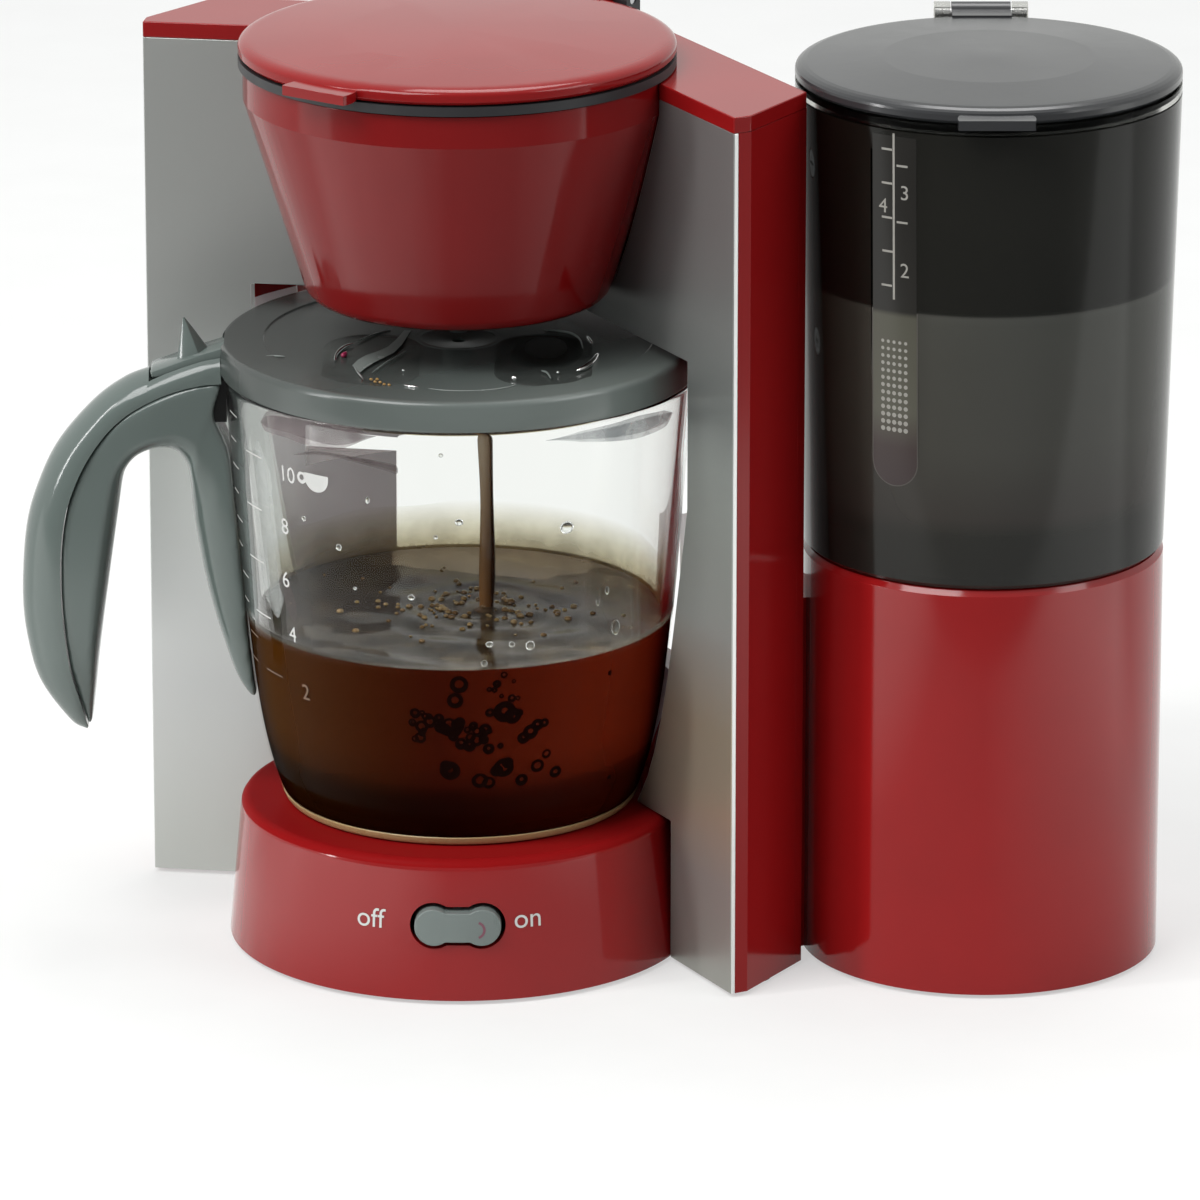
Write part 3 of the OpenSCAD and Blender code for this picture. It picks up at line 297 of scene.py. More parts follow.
RED = (0.235, 0.0062, 0.0068)
GLOSS = dict(rough=0.11, peel=0.012, scale=500.0)
M_RED = plastic("red_gloss", RED, spec=0.32, **GLOSS)
# the cone's red is painted darker than the housing red: painted shade on its down-facing wall
M_CONE_SHADED = plastic("red_cone_shaded", scaled(RED, 0.8), spec=0.28, **GLOSS)
# the pedestal's red is painted lighter than the housing red: painted light
M_PED_LIT = plastic("red_pedestal_lit", scaled(RED, 1.12), spec=0.42, **GLOSS)
M_GREY = plastic("slate_grey", (0.108, 0.134, 0.124), 0.13, peel=0.008, tone=0.03)
M_SWITCH = plastic("switch_grey", (0.165, 0.195, 0.185), 0.33, peel=0.04)
M_DARK = plastic("charcoal", (0.018, 0.018, 0.02), 0.5, peel=0.15)
M_TLID = plastic("smoke_lid", (0.03, 0.031, 0.033), 0.2, peel=0.05)
M_RUBBER = plastic("soft_rubber", (0.016, 0.016, 0.017), 0.75, peel=0.3)
M_STEEL = plastic("turned_steel", (0.55, 0.55, 0.56), 0.28, peel=0.05, metallic=1.0)
M_LENS = clear("clear_lens", (0.9, 0.91, 0.88), ior=1.45)
M_CUP = clear("smoke_cup", (0.6, 0.6, 0.58), rough=0.06, ior=1.15, shadow=(0.5, 0.5, 0.48), shine=0.6,
    wavy=0.02)
M_TUBE = clear("milky_tube", (0.8, 0.82, 0.8), rough=0.25, ior=1.4, shadow=(0.8, 0.8, 0.8))
M_INK = plastic("white_print", (0.6, 0.6, 0.58), 0.5, peel=0.1)
M_INK_LOW = plastic("low_print", (0.16, 0.1, 0.065), 0.5, peel=0.1)
M_INK_DIM = plastic("dim_print", (0.3, 0.29, 0.26), 0.5, peel=0.1)
M_AMBER = plastic("amber_foot", (0.5, 0.37, 0.18), 0.3, peel=0.02)
# black for painted shade in a gap
M_SHADE_BLACK = plastic("painted_shade_black", (0.004, 0.004, 0.004), 0.4, peel=0.0, spec=0.2)
M_GLINT = plastic("glint", (0.95, 0.96, 0.95), 0.1, peel=0.0, metallic=1.0)
M_PINK = plastic("pink_glint", (0.3, 0.02, 0.07), 0.2, peel=0.0)
M_GOLD = plastic("gold_speck", (0.32, 0.18, 0.05), 0.2, peel=0.0)
# pale grey for painted highlights and reflections on the lid
M_PALE_REFLECTION = plastic("pale_reflection", (0.2, 0.225, 0.21), 0.25, peel=0.0)

# where the silver wings are read, as (pixel column, depth), and their tone beside a pixel's row: the lacquer's
# grey with painted reflection and shade in it
LEFT_WING_AT, RIGHT_WING_AT = (190, 18), (710, -15)
LEFT_WING_LIGHT_PX = [(200, (0.73, 0.75, 0.72)), (300, (0.78, 0.8, 0.77)), (400, (0.95, 0.98, 0.95)),
    (480, (1.28, 1.33, 1.28)), (600, (1.18, 1.21, 1.19)), (700, (1.08, 1.1, 1.09)), (860, (1.02, 1.05, 1.0))]
RIGHT_WING_LIGHT_PX = [(200, (0.48, 0.47, 0.46)), (300, (0.54, 0.55, 0.53)), (390, (0.44, 0.47, 0.45)),
    (440, (0.62, 0.66, 0.63)), (500, (0.72, 0.76, 0.72)), (600, (0.8, 0.82, 0.78)), (700, (0.8, 0.67, 0.5)),
    (780, (0.87, 0.69, 0.52)), (850, (0.72, 0.68, 0.63)), (940, (0.72, 0.72, 0.66))]


def silver():
    """Satin lacquer with painted reflection and shade: its tone runs from darker above to lighter below, and
    warmer beside the jug, and its end faces carry a painted highlight.
    """
    s = Shader("satin_silver")
    x, _, z = s.xyz()
    level = s.remap(z, Z0, Z0 + 0.17)

    def light_tones(at, stops):
        out = [(min(1, max(0, unproject(at[0], py, at[1])[1] / 170)), scaled(col, 0.5)) for py, col in stops]
        return s.ramp(level, out[::-1])

    face = s.mix(s.above(x, AX + 0.018), light_tones(LEFT_WING_AT, LEFT_WING_LIGHT_PX), light_tones(RIGHT_WING_AT, RIGHT_WING_LIGHT_PX))
    nx = s.normal()[0]
    # the end faces are painted near white: a painted highlight along the edges
    ends = s.math("MAXIMUM", s.above(nx, 0.1), s.below(nx, -0.95))
    return s.finish(s.principled(Base_Color=s.mix(ends, face, (0.95, 0.97, 0.95)), Roughness=0.38, Metallic=0.6,
        Normal=s.bump(s.noise(300.0, 3.0), 0.003)))


def lid_grey():
    """Slate grey with painted light and shade: darker towards the niche and lighter at the front right."""
    s = Shader("lid_grey")
    x, y, _ = s.xyz()
    # painted shade at the back left, painted light at the front right
    run = s.math("SUBTRACT", s.math("MULTIPLY", s.math("SUBTRACT", x, AX), 0.7), s.math("SUBTRACT", y, AY))
    tone = s.ramp(s.remap(run, -0.04, 0.06), [(0.0, (0.03, 0.034, 0.032)), (0.3, (0.045, 0.052, 0.048)),
        (0.65, (0.085, 0.1, 0.093)), (1.0, (0.16, 0.185, 0.172))])
    return s.finish(s.principled(Base_Color=tone, Roughness=0.25, Normal=s.bump(s.noise(900.0, 3.0), 0.02)))


# the window behind the jug, in metres: half its width, its front, and its lower and upper end
WINDOW_HALF, WINDOW_FRONT, WINDOW_LOW, WINDOW_TOP = 0.056, 0.008, 0.03, 0.1135


def niche_red():
    """Housing red; the walls of the window behind the jug are grey, and the step's top is dark."""
    s = Shader("red_housing")
    x, y, z = s.xyz()
    _, ny, nz = s.normal()
    wide = s.below(s.math("ABSOLUTE", s.math("SUBTRACT", x, AX)), WINDOW_HALF)
    inside = s.product(wide, s.above(y, AY + WINDOW_FRONT), s.below(z, Z0 + WINDOW_TOP), s.below(ny, 0.3),
        s.above(z, Z0 + WINDOW_LOW))
    fade = s.ramp(s.remap(z, Z0 + 0.045, Z0 + 0.08),
        [(0.0, (0.55, 0.46, 0.49)), (0.5, (0.88, 0.8, 0.82)), (1.0, (0.95, 0.9, 0.91))])
    wall = s.mix(s.above(nz, 0.5), fade, (0.15, 0.1, 0.1))
    red = s.mix(s.noise(35.0, 3.0), scaled(RED, 0.95), scaled(RED, 1.05))
    return s.finish(s.principled(Base_Color=s.mix(inside, red, wall), Roughness=0.13, Specular_IOR_Level=0.3,
        Normal=s.bump(s.noise(500.0, 3.0), 0.012)))


def lit_base_red():
    """Housing red painted lighter as painted light on the base, with a duller top, which mirrors little of the
    bright background.
    """
    s = Shader("red_base_lit")
    red = s.mix(s.noise(35.0, 3.0), scaled(RED, 1.06), scaled(RED, 1.14))
    peel = s.bump(s.noise(500.0, 3.0), 0.012)
    side = s.principled(Base_Color=red, Roughness=0.12, Specular_IOR_Level=0.5, Normal=peel)
    top = s.principled(Base_Color=scaled(RED, 1.05), Roughness=0.35, IOR=1.15, Specular_IOR_Level=0.1,
        Normal=peel)
    return s.finish(s.both(s.above(s.normal()[2], 0.35), side, top))


def jug_clear():
    """Clear plastic; where coffee stands behind it, it mirrors next to nothing."""
    s = Shader("clear_jug")
    dry = s.principled(Base_Color=(0.965, 0.972, 0.965), Transmission_Weight=1.0, IOR=1.42, Roughness=0.0,
        Specular_Tint=(0.08, 0.08, 0.08), Normal=s.bump(s.noise(60.0), 0.05, 0.0003))
    wet = s.grey_ramp(s.remap(s.xyz()[2], Z0 + JUG_Z / 1000, Z0 + 0.066),
        (0.02, 0.06, 0.88, 0.94), (0.3, 0.93, 0.93, 0))
    return s.finish(s.by_ray(SOFT_LIGHT, s.both(wet, dry, s.clear((0.97, 0.96, 0.95))), s.clear()))


def smoke():
    """Deep smoke plastic: the cup's floor and the deck under it show as darker and lighter zones, with the
    light that comes through painted into its colour; its left side carries painted shade and its right edge a
    painted sheen.
    """
    s = Shader("smoke_tank")
    x, _, z = s.xyz()
    # painted light through the walls, in zones by height
    zones = s.ramp(s.remap(z, Z0 + 0.078, Z0 + 0.165), [
        (0.0, (0.03, 0.03, 0.028)), (0.11, (0.033, 0.033, 0.03)), (0.15, (0.05, 0.046, 0.042)),
        (0.3, (0.066, 0.065, 0.058)), (0.57, (0.072, 0.073, 0.065)), (0.588, (0.078, 0.079, 0.071)),
        (0.594, (0.0145, 0.0145, 0.0125)), (0.8, (0.0165, 0.0165, 0.014)), (1.0, (0.0145, 0.0145, 0.0125))])
    haze = s.ramp(s.noise(55.0, 4.0, 0.6), [(0.3, (0.82, 0.82, 0.82)), (0.7, (1, 1, 1))])
    # painted shade on the left beside the slab, rising to a painted sheen at the right edge
    edge = s.ramp(s.remap(x, AX + (TANK[0] - 35) / 1000, AX + (TANK[0] + 5) / 1000), [(0.0, (0.1, 0.09, 0.08)),
        (0.12, (0.22, 0.18, 0.15)), (0.3, (0.48, 0.44, 0.4)), (0.6, (0.95, 0.93, 0.9)), (1.0, (1, 1, 1))])
    skin = s.principled(Base_Color=s.times(s.times(zones, haze, 0.35), edge), Roughness=0.12, IOR=1.45,
        Specular_IOR_Level=0.2, Normal=s.bump(s.noise(60.0), 0.02, 0.0003))
    glass = s.principled(Base_Color=(0.3, 0.3, 0.28), Transmission_Weight=1.0, IOR=1.2, Roughness=0.08)
    return s.finish(s.by_ray(SHADOW, s.both(0.13, skin, glass), s.clear((0.25, 0.25, 0.24))))


M_SMOKE = smoke()
M_SILVER = silver()
M_LID = lid_grey()
M_HOUSING = niche_red()
M_BASE = lit_base_red()
M_GLASS = jug_clear()

# ---------- mesh helpers ----------


def add(name, bm, mat, body, angle):
    """Turns a bmesh in millimetres into a piece that rides on a body."""
    me = bpy.data.meshes.new(name)
    bm.normal_update()
    bm.to_mesh(me)
    bm.free()
    for v in me.vertices:
        v.co = W(*v.co)
    ob = link(name, me)
    me.materials.append(mat)
    shade(ob, angle)
    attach(ob, body)
    return ob


def wear(me, mat):
    """Gives a mesh one material in place of all it has."""
    me.materials.clear()
    me.materials.append(mat)


def shown_mesh(ob):
    """A new mesh of what an object shows with its modifiers."""
    return bpy.data.meshes.new_from_object(ob.evaluated_get(bpy.context.evaluated_depsgraph_get()))


def add_to_lid(name, bm, mat):
    add(name, bm, mat, "jug_cover", 60)


def shade(ob, angle):
    me = ob.data
    me.polygons.foreach_set("use_smooth", [True] * len(me.polygons))
    me.set_sharp_from_angle(angle=rad(angle))


def circle(r, n, z=None):
    """Points of a circle; with a height they have three coordinates."""
    flat = [(r * cos(2 * pi * i / n), r * sin(2 * pi * i / n)) for i in range(n)]
    return flat if z is None else [(x, y, z) for x, y in flat]


def revolve(profile, n):
    """Solid with a closed profile round the axis; a point with radius 0 becomes one vertex on the axis."""
    bm = bmesh.new()
    rows = [[bm.verts.new(p) for p in circle(r, n if r > 1e-6 else 1, z)] for r, z in profile]
    for a, b in zip(rows, rows[1:] + rows[:1]):
        if len(a) == len(b) == 1:
            continue
        for i in range(n):
            j = (i + 1) % n
            if len(a) == 1:
                bm.faces.new((a[0], b[i], b[j]))
            elif len(b) == 1:
                bm.faces.new((a[i], b[0], a[j]))
            else:
                bm.faces.new((a[i], b[i], b[j], a[j]))
    bmesh.ops.recalc_face_normals(bm, faces=bm.faces)
    return bm


def between(a, b, c, d, t):
    return 0.5 * (2 * b + (c - a) * t + (2 * a - 5 * b + 4 * c - d) * t * t + (3 * b - a - 3 * c + d) * t ** 3)


def smooth(points, n):
    """Smooth curve through the points, with n steps between neighbours."""
    pts = [Vector(p) for p in points]
    last = len(pts) - 1
    out = []
    for i in range(last):
        a, b, c, d = pts[max(0, i - 1)], pts[i], pts[i + 1], pts[min(last, i + 2)]
        out += [between(a, b, c, d, k / n) for k in range(n)]
    return out + [pts[-1]]


def loft(rings):
    """Closed skin over rings of points, with a flat face at each end."""
    bm = bmesh.new()
    rows = [[bm.verts.new(p) for p in ring] for ring in rings]
    m = len(rings[0])
    for a, b in zip(rows, rows[1:]):
        for i in range(m):
            j = (i + 1) % m
            bm.faces.new((a[i], a[j], b[j], b[i]))
    bm.faces.new(rows[0])
    bm.faces.new(rows[-1][::-1])
    bmesh.ops.recalc_face_normals(bm, faces=bm.faces)
    return bm


def sheet(rows):
    """Open skin over rows of points."""
    bm = bmesh.new()
    grid = [[bm.verts.new(p) for p in row] for row in rows]
    for p, q in zip(grid, grid[1:]):
        for i in range(len(p) - 1):
            bm.faces.new((p[i], p[i + 1], q[i + 1], q[i]))
    return bm


def merge(bm, other):
    """Adds one bmesh to another."""
    me = bpy.data.meshes.new("part")
    other.to_mesh(me)
    other.free()
    bm.from_mesh(me)
    bpy.data.meshes.remove(me)


def bake(ob):
    """Applies an object's modifiers to its mesh."""
    me = shown_mesh(ob)
    ob.modifiers.clear()
    ob.data = me


def blend(ob, voxel, rounds):
    """Joins the overlaps of a loft into one skin and smooths its folds."""
    mod = ob.modifiers.new("skin", "REMESH")
    mod.mode = "VOXEL"
    mod.voxel_size = voxel / 1000
    mod.use_smooth_shade = True
    mod = ob.modifiers.new("relax", "SMOOTH")
    mod.factor = 0.5
    mod.iterations = rounds
    mat = ob.data.materials[0]
    bake(ob)
    wear(ob.data, mat)
    shade(ob, 60)


def soften(node, mat, width):
    """A node's own shape with its machined edges rounded, as moulded plastic has."""
    me = NODES[node].data.copy()
    bm = bmesh.new()
    bm.from_mesh(me)
    bmesh.ops.remove_doubles(bm, verts=bm.verts, dist=2e-6)
    bmesh.ops.dissolve_limit(bm, angle_limit=rad(0.6), verts=bm.verts, edges=bm.edges)
    bm.to_mesh(me)
    bm.free()
    wear(me, mat)
    ob = link(node + "_soft", me)
    mod = ob.modifiers.new("edges", "BEVEL")
    mod.width = width / 1000
    mod.segments = 3
    mod.limit_method = "ANGLE"
    mod.angle_limit = rad(30)
    mod.harden_normals = False
    mod.miter_outer = "MITER_ARC"
    ob.modifiers.new("normals", "WEIGHTED_NORMAL").keep_sharp = True
    shade(ob, 28)
    bake(ob)
    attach(ob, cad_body(node))
    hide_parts(node)


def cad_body(node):
    for body, members in frame["record"]["behaviour"]["bodies"].items():
        if node in members:
            return body
    return "machine"


# ---------- carried-over nodes ----------

PLAIN = {
    "housing_shell": M_HOUSING, "back_cover": M_HOUSING, "top_cover": M_RED, "base_shell": M_BASE,
    "base_plate": M_DARK, "tank_pedestal": M_PED_LIT, "pedestal_plate": M_DARK, "rubber_feet": M_RUBBER,
    "case_screws": M_STEEL, "filter_holder": M_CONE_SHADED, "valve_retainer": M_DARK, "drip_valve": M_GREY,
    "valve_spring": M_STEEL, "water_pipe": M_TUBE, "dock_seal": M_RUBBER, "switch_rocker": M_SWITCH,
    "switch_pin": M_STEEL, "filter_basket": M_DARK, "filter_lid": M_RED, "filter_lid_pin": M_STEEL,
    "tank_sleeve": M_SMOKE, "tank_cup": M_CUP, "tank_lid": M_TLID, "tank_lid_pin": M_STEEL,
    "jug_glass": M_GLASS, "handle_core": M_GREY, "handle_shell": M_GREY, "hinge_bracket": M_GREY,
    "jug_lid": M_LID, "lid_lever": M_GREY, "jug_lid_pin": M_GREY, "front_panel": M_SILVER,
}
SOFT = {
    "housing_shell": 0.4, "front_panel": 0.22, "back_cover": 0.35, "top_cover": 0.45, "base_shell": 0.35,
    "tank_pedestal": 0.5, "filter_holder": 0.4, "filter_lid": 0.3, "jug_lid": 0.6, "switch_rocker": 0.45,
}
for node, mat in PLAIN.items():
    ob = NODES[node]
    wear(ob.data, mat)
    shade(ob, 30)

# ---------- room ----------

FLOOR_FRONT, FLOOR_REACH = -0.24, 6
# each lamp: place, what it points at, width, watts and height
LAMPS = {
    "key": ((-0.75, -0.75, 1.5), (0, 0, 0.08), 0.9, 19.5, None),
    "strip": ((-1.2, -0.45, 0.62), (0, 0, 0.08), 0.12, 7, 1.0),
    "fill": ((1.2, -0.6, 1.0), (0.05, 0, 0.08), 0.8, 7, None),
    "top": ((0.1, 0.35, 1.4), (0, 0, 0.1), 0.7, 9, None),
}


def area(name, at, target, size, power, size_y):
    la = bpy.data.lights.new(name, "AREA")
    la.energy = power
    la.shape = "RECTANGLE" if size_y else "SQUARE"
    la.size = size
    if size_y:
        la.size_y = size_y
    ob = link(name, la)
    ob.location = at
    ob.rotation_euler = (Vector(target) - Vector(at)).to_track_quat("-Z", "Y").to_euler()


def paper():
    """Pale floor: seen straight it is lifted towards white, and gloss sees it glow, dimmer in front of the part
    and brighter to the front left and right.
    """
    s = Shader("paper")
    col = s.ramp(s.noise(40.0, 3.0), [(0.3, (0.80, 0.81, 0.79)), (0.7, (0.83, 0.84, 0.82))])
    matte = s.principled(Base_Color=col, Roughness=0.9, Specular_IOR_Level=0.1)
    lifted = s.both(0.5, matte, s.node("Emission", Color=(1, 1, 1), Strength=1.0))
    x, y, _ = s.xyz()
    side = s.grey_ramp(s.remap(x, -0.3, 0.3), (0.12, 0.32, 0.43, 0.62, 0.85, 1.0), (1, 0.75, 0.34, 0.3, 0.7, 1))
    level = s.node("Mix", p_data_type="FLOAT", i0=s.remap(y, -0.02, 0.03),
        i2=s.math("MULTIPLY", side, 1.9), i3=1.0)
    shiny = s.node("Emission", Color=(0.97, 0.98, 0.96), Strength=level)
    return s.finish(s.by_ray(["Is Glossy Ray"], s.by_ray(SEEN, matte, lifted), shiny))


def room():
    me = bpy.data.meshes.new("floor")
    bm = bmesh.new()
    for x, y in ((-1, FLOOR_FRONT), (1, FLOOR_FRONT), (1, FLOOR_REACH), (-1, FLOOR_REACH)):
        bm.verts.new((x * FLOOR_REACH, y, 0))
    bm.faces.new(bm.verts)
    bm.to_mesh(me)
    bm.free()
    floor = link("floor", me)
    me.materials.append(paper())
    world = bpy.data.worlds.new("room")
    bpy.context.scene.world = world
    s = Shader("room", world)
    lit = s.node("Background", Color=(0.95, 0.97, 1), Strength=0.32)
    seen = s.node("Background", Color=(0.93, 0.94, 0.92), Strength=1.0)
    # a tent open towards the front: gloss there shows the dim room behind the camera
    y = s.node("SeparateXYZ", Vector=s.node("TexCoord").outputs["Generated"]).outputs[1]
    half = s.node("Math", p_operation="MULTIPLY_ADD", i0=y, i1=0.5, i2=0.5)
    tent = s.node("Background", Color=s.ramp(half, [(0.16, (0.3, 0.3, 0.3)), (0.4, (0.9, 0.91, 0.89))]))
    s.finish(s.by_ray(SEEN, s.by_ray(["Is Glossy Ray"], lit, tent), seen))
    for name, lamp in LAMPS.items():
        area(name, *lamp)


# ---------- refined pieces that stand for nodes ----------


def jug_shell():
    """The clear jug with a rounded rim and a filleted floor, and its amber foot ring."""
    r0, h1, top = jug_r(0), jug_r(1), jug_r(JUG_H)
    out = [(0, 0.6), (r0 - 3.4, 0.6), (r0 - 2.9, 0.35), (r0 - 2.4, 0.05), (r0 - 2.0, 0), (r0 - 0.9, 0),
        (r0 - 0.3, 0.12), (r0, 0.45), (h1 - 0.1, 0.8)]
    out += [(jug_r(h), h) for h in [1 + 79.6 * (i / 60) ** 1.15 for i in range(61)]]
    out += [(jug_r(81.2), 81.2), (top - 0.1, 81.7), (top - 0.4, 81.95), (top - 0.8, 82), (top - 1.3, 82),
        (top - 1.7, 81.9), (top - 1.95, 81.6), (jug_r(81) - JUG_WALL, 81)]
    out += [(jug_r(h) - JUG_WALL, h) for h in [80 - 72 * (i / 50) for i in range(51)]]
    floor_r, floor_h = jug_r(8) - JUG_WALL, 8.0
    out += [(floor_r - 5 * (1 - cos(rad(i * 10))) - 0.1 * i, floor_h - 4.6 * sin(rad(i * 10)))
        for i in range(1, 10)]
    out.append((0, 3.0))
    ob = add("jug_clear", revolve([(r, JUG_Z + h) for r, h in out], 192), M_GLASS, "jug", 60)
    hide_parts("jug_glass")
    ring = [(r0 - 2.4, 0.03), (r0 - 2.0, 0.01), (r0 - 0.9, 0.01), (r0 - 0.2, 0.12), (r0 + 0.03, 0.45),
        (h1 + 0.03, 1.5), (h1 - 0.1, 1.65), (r0 - 0.8, 0.9), (r0 - 2.2, 0.5)]
    add("jug_foot_ring", revolve([(r, JUG_Z + h) for r, h in ring], 192), M_AMBER, "jug", 60)


# the handle from the side, from its lower tip up and over to the jug, as (x, height above the jug's foot)
OUT = [(-69.6, 12.5), (-72.4, 13.9), (-77.8, 21.4), (-80.1, 29.2), (-81, 38.5), (-80.1, 51.5), (-77.6, 60.3),
    (-73.8, 68), (-67.3, 75.6), (-61.5, 79.9), (-57, 81.7)]
SEAM = [(-69, 13.6), (-70.4, 19.2), (-72.1, 26.0), (-73.1, 34.1), (-73.5, 42.0), (-73.2, 50.0), (-71.9, 57.3),
    (-68.9, 64.7), (-64.9, 70.7), (-60.9, 74.4), (-56.6, 76.9)]
IN = [(-68.4, 14.1), (-67.6, 20.7), (-66.9, 27.1), (-66, 34), (-65, 41), (-64, 48), (-62.9, 55.5), (-62, 61.3),
    (-60.9, 63.9), (-59.2, 65.7), (-57.2, 66.7)]
# the arm goes on from the seam and the inner outline, turns at the jug and runs down it as the strap
ARM_TOP = [(-56.6, 76.9), (-54, 78.1), (-51.5, 79.0), (-49, 79.7), (-46.7, 80.1), (-43.7, 80.3), (-44.5, 77.2),
    (-45.0, 74.3), (-43.9, 71), (-42.6, 67.5), (-42.2, 64), (-41.75, 58), (-41.35, 53.5), (-40.53, 44.5),
    (-39.83, 36.5), (-39.09, 29), (-38.32, 22.5), (-37.78, 18.9)]
ARM_LOW = [(-57.2, 66.7), (-55.6, 67), (-54, 67), (-52.6, 66.6), (-51.4, 65.6), (-50.4, 63.9), (-49.9, 62.3),
    (-49.6, 60.6), (-49.5, 59), (-49.35, 57), (-49.15, 55), (-48.95, 52.7), (-48.5, 50), (-47.4, 43.5),
    (-45.7, 36), (-43.6, 29), (-41.3, 22.5), (-38.5, 18.4)]
HANDLE_W, SEAM_GAP, STEPS = 15.0, 0.12, 9


def lifted_pts(points, n):
    return [Vector((p.x, p.y + JUG_Z)) for p in smooth(points, n)]


def handle_back():
    """The handle's outer shell, a smooth loft from its seam out to its back."""
    seam, back = lifted_pts(SEAM, STEPS), lifted_pts(OUT, STEPS)
    last = len(seam) - 1
    rings = []
    for i in range(last + 1):
        t = i / last
        w = HANDLE_W * (0.32 + 0.68 * sin(rad(min(90, 15 + 300 * t))) - 0.16 * max(0, t - 0.7) / 0.3)
        q = (back[i] - seam[i]) / max(0.5, (back[i] - seam[i]).length)
        low = seam[i] + q * SEAM_GAP
        ring = []
        for k in range(37):
            a = rad(90 - 5 * k)
            p = low + (back[i] - low) * max(0.0, cos(a)) ** 0.92
            ring.append((p.x, w / 2 * sin(a), p.y))
        ring += [(low.x + 0.05 * q.x, y * w / 2, low.y + 0.05 * q.y) for y in (-0.93, 0.0, 0.93)]
        rings.append(ring)
    ob = add("handle_back", loft(rings), M_GREY, "jug", 50)
    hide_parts("handle_shell")


def handle_grip():
    """The handle's inner core, with the arm over to the jug and the strap down its wall in one loft."""
    seam = lifted_pts(SEAM, STEPS)
    last = len(seam) - 1
    out = seam + lifted_pts(ARM_TOP, STEPS)[1:]
    inn = lifted_pts(IN, STEPS) + lifted_pts(ARM_LOW, STEPS)[1:]
    rings = []
    for i in range(len(out)):
        u = (i - last) / STEPS
        v = max(0, (u - 9) / 8)
        w = (HANDLE_W - 1) * (0.3 + 0.7 * sin(rad(min(90, 15 + 500 * i / (20 * STEPS)))))
        w -= 1.9 * min(1, max(0, u / 9))
        w *= 1 - 0.45 * v ** 3
        if v > 0.93:
            w *= sqrt(max(0.02, 1 - ((v - 0.93) / 0.075) ** 2))
        # the section turns from flat-sided in the arm to rounded, with its back on the jug's wall, in the strap
        soft = min(1, max(0, (u - 6.5) / 4))
        ring = []
        for k in range(25):
            a = rad(-90 + 7.5 * k)
            reach = (0.72 + 0.28 * cos(a)) * (1 - soft) + (0.12 + 0.88 * max(0, cos(a)) ** 0.7) * soft
            ring.append((reach, w / 2 * sin(a)))
        ring += [(0.3 * (1 - soft), w / 2), (0.06, w / 2), (0.015, w / 2 - 0.25), (0, w / 2 - 0.8),
            (0, 0.8 - w / 2), (0.015, 0.25 - w / 2), (0.06, -w / 2), (0.3 * (1 - soft), -w / 2)]
        r = -out[i].x
        row = []
        for q, y in ring:
            p = out[i] + (inn[i] - out[i]) * q
            row.append((p.x + soft * (1 - q) * (r - sqrt(r * r - y * y)), y, p.y))
        rings.append(row)
    ob = add("handle_grip", loft(rings), M_GREY, "jug", 45)
    blend(ob, 0.5, 7)
    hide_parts("handle_core")


CHEEK_TOP = [(-57.2, 108.1), (-53.5, 109.6), (-50, 110.8), (-46.8, 111.7), (-43.8, 112.2)]
CHEEK_LOW = [(-57.2, 76.7), (-54, 78.2), (-50, 79.5), (-46.7, 80.2), (-43.5, 80.4)]
GAP_SHADE = [(-45.2, 99.5), (-42.6, 99.5), (-42.6, 107.6), (-44.0, 107.6)]
LEVER_TOP = [(-56.7, 108.3), (-56.2, 108.7), (-54, 109.5), (-50, 111), (-46.5, 112.2), (-43.6, 113.1),
    (-41.8, 113.9)]
LEVER_LOW = [(-56.6, 107.6), (-56.0, 107.55), (-54, 107.8), (-50, 108.7), (-46.5, 109.6), (-44.4, 110.4),
    (-41.8, 112.8)]
FIN_FOOT = [(-51.9, -1.5), (-51.5, -2.0), (-48.2, -2.9), (-47.4, -2.9), (-45.6, -0.5), (-45.6, 0.5),
    (-47.4, 2.9), (-48.2, 2.9), (-51.5, 2.0), (-51.9, 1.5)]
FIN_TIP, FIN_H = (-50.6, 0.0), 8.0
BRIDGE = ((-4.5, 0), (4.5, 0), (4.5, 1.6), (-4.5, 1.6))


